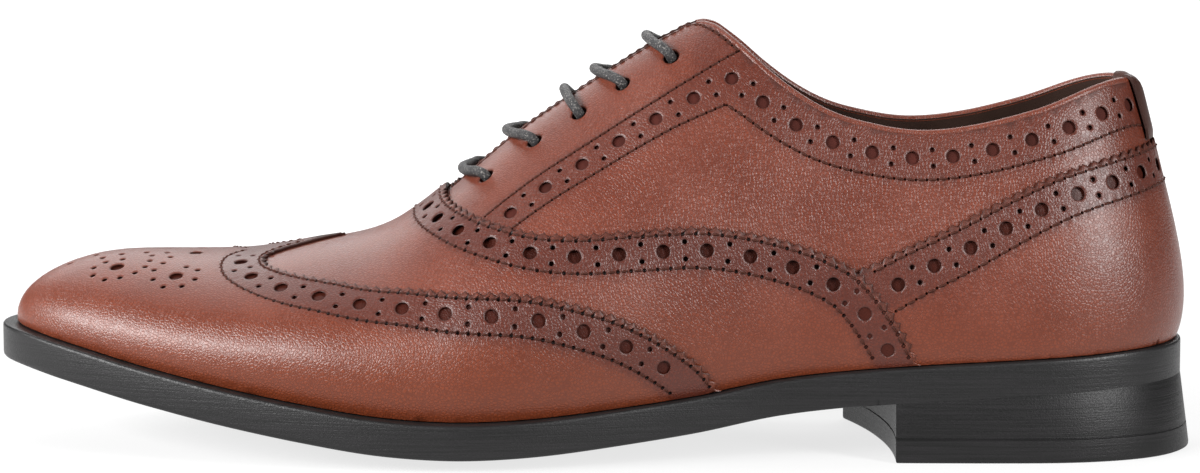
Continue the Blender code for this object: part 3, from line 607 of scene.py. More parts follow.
def lay_sheet(outlines, cut, grid, edge_drop):
    """Points and triangles of one sheet, with the drop and the darkness of each point: dark edge dye with
    painted shade at cut edges and holes, painted shade in needle holes and thread grooves.
    """
    loops = list(outlines)
    parts = []
    for number, loop in enumerate(loops):
        down = from_pattern(loop[:, 0], loop[:, 1])[2]
        # Cut edges clear of the sole joint darkened: dark edge dye with painted shade.
        parts.append((loop, -edge_drop, np.where(down < 0.97, EDGE_DYE_AND_SHADE, 0.0), number))
    for centre, radius, sides in cut.holes:
        ring = circle(centre, radius, sides)
        # Hole edges half darkened: dark edge dye with painted shade in the hole.
        parts.append((ring, -edge_drop, 0.5, len(loops)))
        for rim in HOLE_RIMS:
            parts.append((circle(centre, radius + rim * MM, sides), 0.0, 0.0, -1))
        loops.append(ring)
    needles = [place for row, _ in cut.stitches for place in row]
    for line, dark in cut.lines:
        if needles:
            line = line[nearest(line, needles) > 0.75 * MM]
        parts.append((line, 0.0, dark, -1))
    for row, style in cut.stitches:
        prick = style["prick"] * MM
        for place in row:
            parts.append((circle(place, prick + 0.24 * MM, 6), 0.02 * MM, 0.0, -1))
            # Painted shade: the needle holes darkened, fully at their bottom.
            parts.append((circle(place, prick, 6), -0.35 * MM, 1.0, -1))
            parts.append((place[None], -0.7 * MM, 1.0, -1))
        # Painted shade along the thread's groove between needle holes.
        parts.append(((row[:-1] + row[1:]) / 2, -0.14 * MM, 0.25, -1))
    special = np.concatenate([part[0] for part in parts])
    lattice = inner_grid(loops[0], grid)
    for loop in outlines[1:]:
        lattice = lattice[~inside(lattice, loop)]
    for centre, radius, _ in cut.holes:
        lattice = lattice[np.linalg.norm(lattice - centre, axis=1) > radius + 1.1 * MM]
    lattice = lattice[nearest(lattice, special) > 0.42 * grid]
    parts.append((lattice, 0.0, 0.0, -1))
    points = np.concatenate([part[0] for part in parts])
    drops, darks, hoops = (np.concatenate([np.full(len(part[0]), part[k]) for part in parts])
                           for k in (1, 2, 3))
    edges = []
    for number in range(len(loops)):
        ids = np.flatnonzero(hoops == number)
        edges += list(zip(ids.tolist(), np.roll(ids, -1).tolist()))
    out = delaunay_2d_cdt([Vector(p) for p in (points / MM).tolist()], edges, [], 0, 1e-5)
    origin = np.array([ids[0] for ids in out[3]])
    faces = origin[np.array([list(face) for face in out[2]])]
    a, b, c = points[faces[:, 0]], points[faces[:, 1]], points[faces[:, 2]]
    turn = (b[:, 0] - a[:, 0]) * (c[:, 1] - a[:, 1]) - (b[:, 1] - a[:, 1]) * (c[:, 0] - a[:, 0])
    faces[turn < 0] = faces[turn < 0][:, ::-1]
    hoop = hoops[faces]
    in_hole = (hoop[:, 0] == hoop[:, 1]) & (hoop[:, 1] == hoop[:, 2]) & (hoop[:, 0] >= len(outlines))
    centres = points[faces].mean(axis=1)
    good = ~in_hole & inside(centres, outlines[0]) & (np.abs(turn) > 1e-12)
    for loop in outlines[1:]:
        good &= ~inside(centres, loop)
    return points, drops, darks, faces[good]


def activate(item):
    bpy.ops.object.select_all(action="DESELECT")
    item.select_set(True)
    bpy.context.view_layer.objects.active = item


def mesh_piece(name, points, faces, values=None):
    """A new piece at the origin from points and faces, with numbers on its points where given."""
    mesh = bpy.data.meshes.new(name)
    mesh.from_pydata([tuple(p) for p in points], [], [tuple(f) for f in faces])
    for key, numbers in (values or {}).items():
        layer = mesh.attributes.new(key, "FLOAT", "POINT")
        layer.data.foreach_set("value", np.asarray(numbers, dtype=np.float32))
    mesh.validate()
    item = bpy.data.objects.new(name, mesh)
    bpy.context.scene.collection.objects.link(item)
    return item


def drop_loose(item):
    activate(item)
    bpy.ops.object.mode_set(mode="EDIT")
    bpy.ops.mesh.select_all(action="SELECT")
    bpy.ops.mesh.delete_loose()
    bpy.ops.object.mode_set(mode="OBJECT")


def clean_solid(item, distance, angle):
    """Joins the meeting points of a closed piece and turns its faces outward."""
    activate(item)
    bpy.ops.object.mode_set(mode="EDIT")
    bpy.ops.mesh.select_all(action="SELECT")
    bpy.ops.mesh.remove_doubles(threshold=distance)
    bpy.ops.mesh.dissolve_degenerate(threshold=distance / 2)
    bpy.ops.mesh.select_all(action="SELECT")
    bpy.ops.mesh.normals_make_consistent(inside=False)
    bpy.ops.object.mode_set(mode="OBJECT")
    bpy.ops.object.shade_smooth_by_angle(angle=math.radians(angle))


def give_wall(item, thickness):
    """Turns a sheet into a closed wall of leather under it."""
    activate(item)
    wall = item.modifiers.new("Wall", "SOLIDIFY")
    wall.thickness = thickness
    wall.offset = -1.0
    bpy.ops.object.modifier_apply(modifier=wall.name)
    bpy.ops.object.shade_smooth_by_angle(angle=math.radians(WALL_ANGLE))


def ready(item, finish, slot, *nodes):
    item.data.materials.clear()
    item.data.materials.append(finish)
    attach(item, "root")
    if nodes:
        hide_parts(*nodes)
    return item


def srgb(text):
    channels = [int(text[i:i + 2], 16) / 255 for i in (0, 2, 4)]
    linear = [c / 12.92 if c <= 0.04045 else ((c + 0.055) / 1.055) ** 2.4 for c in channels]
    return (*linear, 1.0)


def feed(tree, target, value):
    """Links an output to a node's input, or gives the input a plain value."""
    if isinstance(value, bpy.types.NodeSocket):
        tree.links.new(value, target)
    else:
        target.default_value = value


def add_node(tree, kind, inputs=None, **settings):
    """A node with its settings, its values and the outputs linked into it."""
    made = tree.nodes.new(kind)
    for key, value in settings.items():
        setattr(made, key, value)
    for key, value in (inputs or {}).items():
        feed(tree, made.inputs[key], value)
    return made


def new_material(name):
    made = bpy.data.materials.new(name)
    made.use_nodes = True
    tree = made.node_tree
    return made, tree, tree.nodes["Principled BSDF"]


def set_values(shader, tree, **values):
    """Values or outputs for a shader's inputs; an underscore stands for the space in a name."""
    for key, value in values.items():
        feed(tree, shader.inputs[key.replace("_", " ")], value)


def mix(tree, share, first, second):
    made = add_node(tree, "ShaderNodeMix", {0: share, 6: first, 7: second}, data_type="RGBA")
    return made.outputs[2]


def remap(tree, value, low, high, to_low=0.0, to_high=1.0):
    made = add_node(tree, "ShaderNodeMapRange", {0: value, 1: low, 2: high, 3: to_low, 4: to_high})
    return made.outputs[0]


def noise(tree, place, scale, detail=2.0, roughness=0.5):
    return add_node(tree, "ShaderNodeTexNoise", {"Vector": place, "Scale": scale, "Detail": detail,
                                                 "Roughness": roughness})


def object_place(tree):
    return add_node(tree, "ShaderNodeTexCoord").outputs["Object"]


def point_value(tree, name):
    return add_node(tree, "ShaderNodeAttribute", attribute_name=name).outputs["Fac"]


def math_node(tree, operation, first, second):
    return add_node(tree, "ShaderNodeMath", {0: first, 1: second}, operation=operation).outputs[0]


def bump(tree, height, strength, distance):
    return add_node(tree, "ShaderNodeBump", {"Height": height, "Strength": strength,
                                             "Distance": distance}).outputs[0]


def pebbles(tree, place, scale, bend):
    """Rounded grains with valleys between them: 0 in a valley and 1 on a grain."""
    warp = noise(tree, place, scale * 0.6).outputs["Color"]
    bent = add_node(tree, "ShaderNodeVectorMath", {0: warp, 1: (bend, bend, bend), 2: place},
                    operation="MULTIPLY_ADD")
    cells = add_node(tree, "ShaderNodeTexVoronoi", {"Vector": bent.outputs[0], "Scale": scale},
                     feature="DISTANCE_TO_EDGE")
    return remap(tree, cells.outputs["Distance"], 0.0, 0.28)


def calf_leather(name, light, middle, low, dark):
    """Corrected calf: pebble grain pressed in, burnished darker by hand along the punched bands. Painted
    shade darkens needle holes, cut edges and leather under overlays, and painted shading tints the lower
    sides orange-brown.
    """
    made, tree, shader = new_material(name)
    place = object_place(tree)
    grain = pebbles(tree, place, 1250.0, 0.0005)
    clouds = noise(tree, place, 38.0, 4.0, 0.6).outputs["Fac"]
    height = add_node(tree, "ShaderNodeSeparateXYZ", {"Vector": place}).outputs["Z"]
    tint = mix(tree, remap(tree, clouds, 0.35, 0.65), srgb(middle), srgb(light))
    # Painted light and shade by height: from 44 mm down to 18 mm the leather turns towards the low tint,
    # so the lower sides stay more orange-brown than the lit top.
    tint = mix(tree, remap(tree, height, 0.044, 0.018, 0.0, 0.8), tint, srgb(low))
    tint = mix(tree, point_value(tree, "band"), tint, srgb(dark))
    tint = mix(tree, remap(tree, grain, 0.0, 1.0, 0.40, 0.0), tint, srgb("2C100B"))
    # Painted shade: leather hidden under an overlay, seen through its holes, darkened to near black-brown.
    tint = mix(tree, point_value(tree, "under_overlay_shade"), tint, srgb("3A1811"))
    # Painted shade and edge dye: needle holes, thread grooves, hole edges and cut edges darkened towards
    # black-brown.
    tint = mix(tree, point_value(tree, "shade_and_edge_dye"), tint, srgb("120705"))
    shade_and_edge_dye = point_value(tree, "shade_and_edge_dye")
    under_overlay_shade = point_value(tree, "under_overlay_shade")
    gloss = math_node(tree, "ADD", remap(tree, clouds, 0.3, 0.7, 0.35, 0.42),
                      math_node(tree, "MULTIPLY", shade_and_edge_dye, 0.35))
    fine = noise(tree, place, 5200.0).outputs["Fac"]
    relief = math_node(tree, "ADD", grain, math_node(tree, "MULTIPLY", fine, 0.25))
    # Less shine where shade is painted: in the needle holes, at the cut edges and under overlays.
    shine = remap(tree, math_node(tree, "MAXIMUM", shade_and_edge_dye, under_overlay_shade), 0.0, 1.0, 0.5, 0.08)
    set_values(shader, tree, Base_Color=tint, Roughness=gloss, IOR=1.46, Coat_Weight=0.15,
               Coat_Roughness=0.28, Specular_IOR_Level=shine, Normal=bump(tree, relief, 1.0, 0.000055))
    return made


def plain_leather(name, first, second, roughness, shine, scale):
    """Smooth lining or trim leather, with fine pores."""
    made, tree, shader = new_material(name)
    place = object_place(tree)
    patches = noise(tree, place, 60.0, 3.0).outputs["Fac"]
    tint = mix(tree, remap(tree, patches, 0.3, 0.7), srgb(first), srgb(second))
    pores = noise(tree, place, scale, 4.0).outputs["Fac"]
    set_values(shader, tree, Base_Color=tint, Roughness=roughness, Specular_IOR_Level=shine,
               Normal=bump(tree, pores, 0.5, 0.0001))
    return made


def sole_rubber(name, gloss):
    """Moulded charcoal rubber, its edge brushed along the shoe."""
    made, tree, shader = new_material(name)
    place = object_place(tree)
    stretched = add_node(tree, "ShaderNodeMapping", {"Vector": place, "Scale": (45.0, 45.0, 2600.0)})
    streaks = noise(tree, stretched.outputs[0], 1.0, 3.0).outputs["Fac"]
    specks = noise(tree, place, 2600.0).outputs["Fac"]
    relief = math_node(tree, "ADD", streaks, specks)
    tint = mix(tree, remap(tree, streaks, 0.35, 0.65), srgb("141414"), srgb("1C1B1C"))
    set_values(shader, tree, Base_Color=tint, Roughness=remap(tree, specks, 0.3, 0.7, 0.34, 0.5),
               Specular_IOR_Level=gloss, Normal=bump(tree, relief, 0.55, 0.00012))
    return made


def waxed_cord(name):
    """Round cotton cord, tightly braided and waxed: fine ribs with pale flecks of wax."""
    made, tree, shader = new_material(name)
    place = object_place(tree)
    ribs = pebbles(tree, place, 1900.0, 0.0002)
    flecks = noise(tree, place, 2300.0).outputs["Fac"]
    tint = mix(tree, remap(tree, flecks, 0.56, 0.70), srgb("2E2D2E"), srgb("85817D"))
    set_values(shader, tree, Base_Color=tint, Roughness=0.5, Specular_IOR_Level=0.3,
               Normal=bump(tree, ribs, 0.9, 0.00012))
    return made


def thread_material(name):
    made, tree, shader = new_material(name)
    fibres = noise(tree, object_place(tree), 3000.0).outputs["Fac"]
    set_values(shader, tree, Base_Color=mix(tree, fibres, srgb("1E0C08"), srgb("4A2418")), Roughness=0.6,
               Specular_IOR_Level=0.15)
    return made


# Colours: light, middle, the painted low-sides tint, and the bands' burnished dark.
CALF = calf_leather("burnished_calf", "6C3322", "602A1A", "6C2F13", "461B12")
LINING = plain_leather("lining_leather", "2B1D17", "3A2923", 0.6, 0.2, 1400.0)
UNDERLAY = plain_leather("brown_underlay_leather", "32140E", "48201A", 0.7, 0.1, 2600.0)
STRIP = plain_leather("dark_strip_leather", "2C1712", "3A211A", 0.45, 0.25, 1600.0)
RUBBER = sole_rubber("charcoal_rubber", 0.32)
# A shaded copy of the sole's rubber: the same colour with less shine, which paints shade on the heel.
SHADED_HEEL_RUBBER = sole_rubber("charcoal_rubber_shaded_copy", 0.2)
CORD = waxed_cord("waxed_cord")
THREAD = thread_material("waxed_thread")


def facing_edge(side):
    steps = np.linspace(0.0, 1.0, 60)
    stations = LENGTH * (THROAT_BOTTOM + (FACING_TOP - THROAT_BOTTOM) * steps)
    half = (THROAT_GAP_BOTTOM + (THROAT_GAP_TOP - THROAT_GAP_BOTTOM) * steps) / 2
    return to_pattern(stations, side, half / rib_girth(stations))


def topline_curve():
    corner = facing_edge(LATERAL)[-1]
    stations, downs = edge_table(TOPLINE)
    return smooth_path(np.vstack([corner, to_pattern(stations, LATERAL, downs)]), 1.2 * MM)


def opening_loop():
    lateral = np.vstack([facing_edge(LATERAL), topline_curve()])
    throat = to_pattern(np.array([THROAT_BOTTOM * LENGTH - THROAT_GAP_BOTTOM]), LATERAL, np.zeros(1))
    return chain(throat, lateral, lateral[::-1] * MIRROR)


def eyelet_value(name):
    return column(EYELET_ROWS, EYELET_COLUMNS, name)


def eyelet_centres():
    stations = eyelet_value("station") * LENGTH
    return to_pattern(stations, LATERAL, EYELET_INSET * eyelet_value("inset") / rib_girth(stations))


WING = pattern_edge(WING_EDGE)
VAMP = pattern_edge(VAMP_EDGE)
COUNTER = pattern_edge(COUNTER_EDGE)
TOP = topline_curve()
EYESTAY = smooth_path(np.array(EYESTAY_LINE) * MM, CURVE_STEP)
# Rows of stitches with their style and height, noted by panel and sewn by make_threads
THREADS = []


def band_shade(points, curve, margin, width, fade):
    """1 from the margin to the width of a band's edge, falling to 0 over the fade."""
    flat = on_both_sides(curve)
    near = nearest(base_point(points[:, 0], points[:, 1]), base_point(flat[:, 0], flat[:, 1])) / MM
    return smoothstep(margin - 0.8, margin + 0.2, near) * (1 - smoothstep(width, width + fade, near))


def under(points, edge, front, back):
    """1 on the leather that an overlay between the edge and the sole hides, 0 elsewhere: where painted
    shade darkens the leather seen through the overlay's holes.
    """
    ends = feather_run(front * LENGTH, back * LENGTH, LATERAL)
    area = chain(edge, ends, ends[::-1] * MIRROR, edge[::-1] * MIRROR)
    deep = smoothstep(1.6 * MM, 2.4 * MM, nearest(points, on_both_sides(edge)))
    return deep * inside(points, area)


def nothing(points):
    return np.zeros(len(points))


def panel(name, outlines, cut, top, thickness, band, under_overlay_shade, grid=GRID, edge_drop=0.22):
    """A sheet of leather with its holes, walls and rows of stitches, and the shades on its points: dark
    edge dye with painted shade, the band's darkening, and painted shade where overlays cover it.
    """
    points, drops, darks, faces = lay_sheet(outlines, cut, grid * MM, edge_drop * MM)
    where = leather_point(points[:, 0], points[:, 1], top + drops)
    item = mesh_piece(name, where, faces, {"shade_and_edge_dye": darks, "band": band(points), "under_overlay_shade": under_overlay_shade(points)})
    drop_loose(item)
    give_wall(item, thickness)
    THREADS.extend((row, style, top) for row, style in cut.stitches)
    return item


def whole_outline():
    return chain(feather_run(TOE_TIP, BACK, LATERAL), feather_run(BACK, TOE_TIP, MEDIAL))


def make_quarters():
    cut = Cut()
    cut.hole(eyelet_centres(), EYELET_DIAMETER / MM, BIG_SIDES)
    cut.punches(EYESTAY, 5.0, 10.8)
    for offset, end in ((4.6, 36.6), (-4.6, 33.0)):
        row = beside(EYESTAY, offset * MM, EYESTAY_SPREAD)
        cut.stitch_row(row[row[:, 0] < end * MM], 2.5, DASHED)
    facing = beside(facing_edge(LATERAL), -2.0 * MM)
    facing = facing[(facing[:, 0] > -36.0 * MM) & (facing[:, 0] < 22.0 * MM)]
    facing = np.vstack([facing, np.array(CORNER_STITCHES) * MM])
    cut.stitch_row(smooth_path(facing, CURVE_STEP), 2.5, DASHED)
    topline = pattern_edge(TOPLINE)
    collar = lateral_part(beside(topline, -6.9 * MM, COLLAR_SPREAD))
    far = lateral_part(beside(topline, -12.4 * MM, COLLAR_SPREAD))
    cut.punches(collar, 29.6, 10.1)
    far = np.vstack([np.array([COLLAR_CORNER]) * MM, far[far[:, 0] > EYESTAY[-1][0]]])
    cut.stitch_row(smooth_path(far, CURVE_STEP), 2.7, DASHED)

    def band(points):
        beside_facing = band_shade(points, EYESTAY, -1.0, 4.6, 2.5)
        along_collar = band_shade(points, TOP[20:], -1.0, 12.0, 2.5)
        return 0.5 * np.maximum(beside_facing, along_collar)

    # Painted shade on the quarters where the vamp and the counter cover them.
    def under_overlay_shade(points):
        return np.maximum(under(points, VAMP, VAMP_EDGE[-1][0], TOE_TIP / LENGTH),
                          under(points, COUNTER, COUNTER_EDGE[-1][0], BACK / LENGTH))

    item = panel("quarters", [whole_outline(), opening_loop()], cut, QUARTER_TOP, QUARTER_THICKNESS,
                 band, under_overlay_shade)
    return ready(item, CALF, "upper_leather", "upper")


def make_lining():
    """The lining, and the underlay that the punched holes of the quarters show."""
    cut = Cut()
    cut.hole(eyelet_centres(), EYELET_DIAMETER / MM, BIG_SIDES)
    outlines = [whole_outline(), opening_loop()]
    under_layer = panel("underlay", outlines, cut, -QUARTER_THICKNESS, UNDERLAY_THICKNESS, nothing,
                        nothing, grid=LINING_GRID, edge_drop=0.0)
    ready(under_layer, UNDERLAY, "upper_leather")
    top = -QUARTER_THICKNESS - UNDERLAY_THICKNESS
    item = panel("lining", outlines, cut, top, WALL + top, nothing, nothing, grid=LINING_GRID,
                 edge_drop=0.0)
    return ready(item, LINING, "lining_leather")


def toe_outline(edge, rows):
    """Outline of an overlay from its pinked edge forward to the toe."""
    run = feather_run(rows[-1][0] * LENGTH, TOE_TIP, LATERAL)
    return chain(run, run[::-1] * MIRROR, edge[::-1] * MIRROR, edge)


def make_vamp():
    cut = Cut()
    cut.band(VAMP, -1.0, *VAMP_BAND, PRICKED)
    edge, guard = pinked(VAMP, -1.0)
    # The line inside the teeth darkened: dark edge dye with painted shade.
    cut.line(guard, 0.45)
    # Painted shade on the vamp where the wing cap covers it.
    item = panel("vamp_leather", [toe_outline(edge, VAMP_EDGE)], cut, VAMP_TOP, VAMP_THICKNESS,
                 lambda points: 0.75 * band_shade(points, VAMP, 2.0, 9.5, 3.0),
                 lambda points: under(points, WING, WING_EDGE[-1][0], TOE_TIP / LENGTH))
    return ready(item, CALF, "upper_leather", "vamp")


MEDALLION_BIG = ((-117.3, -9.9), (-103.1, -15.9), (-101.1, -2.9))
MEDALLION_SMALL = ((-122.7, -8.7), (-122.8, -12.2), (-119.9, -14.9), (-116.2, -14.9), (-112.8, -13.4),
                   (-116.6, -6.4), (-120.2, -6.9), (-121.2, -4.3), (-117.6, -3.4), (-122.9, -1.6),
                   (-128.6, -2.5), (-110.8, -10.9), (-110.3, -7.9), (-110.6, -5.0), (-112.6, -3.0),
                   (-107.9, -3.2), (-106.2, -6.0), (-107.0, -9.4), (-108.5, -12.7), (-108.3, -16.9),
                   (-105.7, -20.3), (-101.3, -20.4), (-98.5, -17.6), (-98.4, -13.4), (-101.3, -11.7))


def make_wing_cap():
    cut = Cut()
    cut.band(WING, -1.0, *WING_BAND, PRICKED, WING_SPREAD)
    cut.hole(np.array(MEDALLION_BIG) * MM, BIG_HOLE, BIG_SIDES)
    cut.hole(np.array(MEDALLION_SMALL) * MM, SMALL_HOLE, SMALL_SIDES)
    edge, guard = pinked(WING, -1.0)
    # Along the peak the line is darker: painted shade under the peak's thick edge, with its dark dye.
    peak = guard[:, 1] > -PEAK_WIDTH * MM
    cut.line(guard[~peak], 0.45)
    cut.line(guard[peak], 0.8)
    item = panel("wing_cap_leather", [toe_outline(edge, WING_EDGE)], cut, CAP_TOP, CAP_THICKNESS,
                 lambda points: 0.75 * band_shade(points, WING, 2.0, 10.5, 3.0), nothing)
    return ready(item, CALF, "upper_leather", "wing_cap")


def make_counter():
    cut = Cut()
    cut.band(COUNTER, 1.0, *COUNTER_BAND, DASHED, COUNTER_SPREAD)
    rows = COUNTER_EDGE[:-1] + COUNTER_FRONT
    whole = pattern_edge(rows)
    edge, guard = pinked(whole, 1.0)
    # The line inside the teeth darkened: dark edge dye with painted shade.
    cut.line(guard, 0.45)
    start = rows[-1][0]
    front = to_pattern(np.full(12, start * LENGTH), LATERAL, np.linspace(rows[-1][1] + 0.02, 1.0, 12))
    run = feather_run(start * LENGTH, BACK, LATERAL)
    outline = chain(edge, front, run, run[::-1] * MIRROR, front[::-1] * MIRROR, edge[::-1] * MIRROR)
    # Painted shade on the counter where the vamp covers it.
    item = panel("counter_leather", [outline], cut, COUNTER_TOP, COUNTER_TOP + 0.1 * MM,
                 lambda points: 0.65 * band_shade(points, COUNTER, 2.0, 11.0, 3.0),
                 lambda points: under(points, VAMP, VAMP_EDGE[-1][0], TOE_TIP / LENGTH))
    return ready(item, CALF, "upper_leather", "counter")


def tube_faces(count, sides, start=0):
    """Faces of a closed tube with so many rings of points, first ring at the start number."""
    faces = []
    for r in range(count - 1):
        for k in range(sides):
            a = start + r * sides + k
            b = start + r * sides + (k + 1) % sides
            faces.append((a, b, b + sides, a + sides))
    faces.append(tuple(start + k for k in range(sides))[::-1])
    faces.append(tuple(start + (count - 1) * sides + k for k in range(sides)))
    return faces


def make_threads():
    """Each stitch is a short thread between two needle holes, dipping into both."""
    sides = 6
    turns = np.arange(sides) * 2 * math.pi / sides
    points, faces = [], []
    for row, style, lift in THREADS:
        bare = style["bare"]
        start, end = row[:-1], row[1:]
        mirrored = math.copysign(1.0, row[0, 1])
        rings = []
        for share, rise, size in ((0.0, -0.45, 0.6), (0.15, -0.08, 1.0), (0.5, 0.06, 1.1),
                                  (0.85, -0.08, 1.0), (1.0, -0.45, 0.6)):
            flat = start + (end - start) * (bare + share * (1 - 2 * bare))
            along, over, normal = slopes_at(flat[:, 0], flat[:, 1])
            centre = leather_point(flat[:, 0], flat[:, 1], np.full(len(flat), lift + rise * MM))
            way = end - start
            tangent = unit(along * way[:, :1] + over * way[:, 1:])
            side = np.cross(normal, tangent)
            centre = centre + side * (style["slant"] * (2 * share - 1) * mirrored * MM)
            radius = style["width"] * size / 2 * MM
            rings.append(centre[:, None] + radius * (np.cos(turns)[None, :, None] * side[:, None]
                                                     + np.sin(turns)[None, :, None] * normal[:, None]))
        for stitch in np.stack(rings, 1):
            faces += tube_faces(len(rings), sides, len(points))
            points.extend(stitch.reshape(-1, 3).tolist())
    item = mesh_piece("stitching", points, faces)
    clean_solid(item, 0.001 * MM, CORD_ANGLE)
    return ready(item, THREAD, "waxed_lace")


def make_back_strip():
    """Folded over the topline from inside, then down the back to the counter."""
    rib_radius = BACK_RADIUS * float(feather_half_width(np.asarray(BACK), LATERAL))
    turn = math.pi / 2 - STRIP_HALF_WIDTH / rib_radius
    start = HEEL_FAN_START + HEEL_FAN_RUN * math.sqrt(turn / (math.pi / 2))
    stations = np.linspace(start, BACK, 10)
    ends = []
    for rows in (TOPLINE, COUNTER_EDGE):
        places, downs = edge_table(rows)
        order = np.argsort(places)
        down = flowing(places[order], downs[order], stations)
        ends.append(down * rib_girth(stations))
    top, bottom = ends
    fold = ((7.0, -2.9), (4.0, -2.9), (2.0, -2.9), (0.4, -2.8), (-0.5, -2.4), (-1.1, -1.7), (-1.3, -0.8),
            (-1.0, 0.2), (-0.4, 0.8), (0.4, 1.2), (1.5, 1.4))
    rows = [(top + offset * MM, lift * MM) for offset, lift in fold]
    for share in np.linspace(0.0, 1.0, 9)[1:]:
        reach = top + 1.5 * MM + (bottom - 0.3 * MM - top - 1.5 * MM) * share
        rows.append((reach, (1.45 - 0.4 * smoothstep(0.85, 1.0, share)) * MM))
    points = []
    for reach, lift in rows:
        half = to_pattern(stations, LATERAL, reach / rib_girth(stations))
        line = np.vstack([half, half[-2::-1] * MIRROR])
        points.extend(leather_point(line[:, 0], line[:, 1], np.full(len(line), lift)).tolist())
    item = mesh_piece("back_strip_leather", points, grid_faces(len(rows), 2 * len(stations) - 1, True))
    give_wall(item, 0.7 * MM)
    return ready(item, STRIP, "strip_leather", "back_strip")


def make_tongue():
    edge = pattern_edge(TONGUE_EDGE)
    loop = chain(edge, edge[::-1] * MIRROR)
    item = panel("tongue_leather", [loop], Cut(), -WALL - TONGUE_FIT, TONGUE_THICKNESS,
                 nothing, nothing, grid=2.6, edge_drop=0.3)
    return ready(item, CALF, "upper_leather", "tongue")


def tube(name, path, side, wide, high, sides=12):
    """A cord along a path, with its own half width and half height at each point."""
    tangent = unit(np.gradient(path, axis=0))
    side = unit(side - tangent * np.sum(side * tangent, -1, keepdims=True))
    up = np.cross(tangent, side)
    turns = np.arange(sides) * 2 * math.pi / sides
    rings = (path[:, None] + np.cos(turns)[None, :, None] * side[:, None] * wide[:, None, None]
             + np.sin(turns)[None, :, None] * up[:, None] * high[:, None, None])
    item = mesh_piece(name, rings.reshape(-1, 3), tube_faces(len(path), sides))
    clean_solid(item, 0.001 * MM, CORD_ANGLE)
    return item


def make_topline_bead():
    """The rounded, folded edge round the foot opening."""
    half = even(TOP[1:], 1.2 * MM)
    half = half + across_curve(half) * -0.5 * MM
    line = np.vstack([half[:-1], half[::-1] * MIRROR])
    path = leather_point(line[:, 0], line[:, 1], np.full(len(line), -0.98 * MM))
    normal = slopes_at(line[:, 0], line[:, 1])[2]
    size = np.full(len(path), 1.05 * MM)
    item = tube("topline_bead", path, normal, size, size)
    return ready(item, CALF, "upper_leather")


def lace_under(start, end, outward):
    """Waypoints under the facing: x, g, lift, flatness, and the turn of the cord's flat side."""
    side = math.copysign(1.0, start[1])
    points = []
    for share, bow in ((0.16, 0.5), (0.35, 0.9), (0.5, 1.0), (0.65, 0.9), (0.84, 0.5)):
        place = start + (end - start) * share
        points.append((place[0], place[1] + side * outward * bow, -LACE_DEPTH * MM, 1.0, 1.0))
    return points


def lace_end(place, x, g):
    """Waypoint of the flattened cord under the facing, x and g in mm away from a place."""
    return (place[0] + x * MM, place[1] + g * MM, -LACE_DEPTH * MM, 1.0, 1.0)


def make_lace():
    """One cord through all ten eyelets: straight bars above, crossings under the facings."""
    radius = LACE_DIAMETER / 2
    rest = radius + LACE_FIT
    eyelets = eyelet_centres()
    slants = eyelet_value("slant") * LACE_SLANT
    down = [(1.0, -2.0 * MM, 0.5, 0.6), (1.0, -1.2 * MM, 0.0, 0.2), (1.0, -0.4 * MM, 0.0, 0.0)]
    over = [(share, rise * rest, 0.0, 0.0) for share, rise in BAR_ROWS]
    half = down + over
    route = []

    def bar(row, side):
        place = eyelets[row]
        for way, part in ((1.0, half), (-1.0, half[-2::-1])):
            for share, lift, flat, turn in part:
                x = place[0] - slants[row] * (1 - share**2)
                route.append((x, place[1] * share * way * side, lift, flat, turn))

    first = eyelets[LACE_STEPS[0][0]]
    route += [lace_end(first, -5.0, -7.0), lace_end(first, -3.0, -3.5)]
    for row, side, following, outward in LACE_STEPS:
        bar(row, side)
        here = eyelets[row] * (1.0, -side)
        if following is None:
            route += [lace_end(here, 3.0, 1.0), lace_end(here, 8.0, 3.0)]
        else:
            route += lace_under(here, eyelets[following] * (1.0, -side), outward * MM)
    fine = smooth_path(np.array(route) * (1.0, 1.0, 1.0, MM, MM), 0.45 * MM)
    path = leather_point(fine[:, 0], fine[:, 1], fine[:, 2])
    along, across, _ = slopes_at(fine[:, 0], fine[:, 1])
    flat = clamp(fine[:, 3] / MM)
    turn = clamp(fine[:, 4] / MM)[:, None] * math.pi / 2
    side = unit(along) * np.cos(turn) + unit(across) * np.sin(turn)
    wide, high = (radius + (half_size * MM - radius) * flat for half_size in LACE_FLAT)
    item = tube("lace", path, side, wide, high)
    return ready(item, CORD, "waxed_lace", *(f"lace_bar_{number}" for number in range(1, 6)))


def make_bar_tack():
    """A few heavy threads sewn across the bottom of the throat."""
    x = THROAT_BOTTOM * LENGTH - THROAT_GAP_BOTTOM
    g = np.linspace(-TACK_REACH, TACK_REACH, TACK_POINTS) * MM
    lifts = (0.25 - 0.9 * np.abs(g / (TACK_REACH * MM))**6) * MM
    size = np.full(TACK_POINTS, TACK_RADIUS * MM)
    side = np.tile((1.0, 0.0, 0.0), (TACK_POINTS, 1))
    for number, offset in enumerate(TACK_PLACES):
        path = leather_point(np.full(TACK_POINTS, x + offset * MM), g, lifts)
        item = tube(f"bar_tack_{number + 1}", path, side, size, size, 8)
        ready(item, THREAD, "waxed_lace")


def plan_point(station, side, out):
    x, forward, across = rib_frame(station)
    return np.stack([x + forward * out, spine(station) + side * across * out], -1)


def crowned_bottom(x, share):
    crown = (EDGE_RISE + TREAD_BITE) * tread_value("crown", x)
    return np.maximum(sole_bottom(x) - crown * (1 - share**2), 0.0)


def grid_faces(rows, columns, flip):
    faces = []
    for r in range(rows - 1):
        for c in range(columns - 1):
            a = r * columns + c
            quad = (a, a + 1, a + columns + 1, a + columns)
            faces.append(quad[::-1] if flip else quad)
    return faces


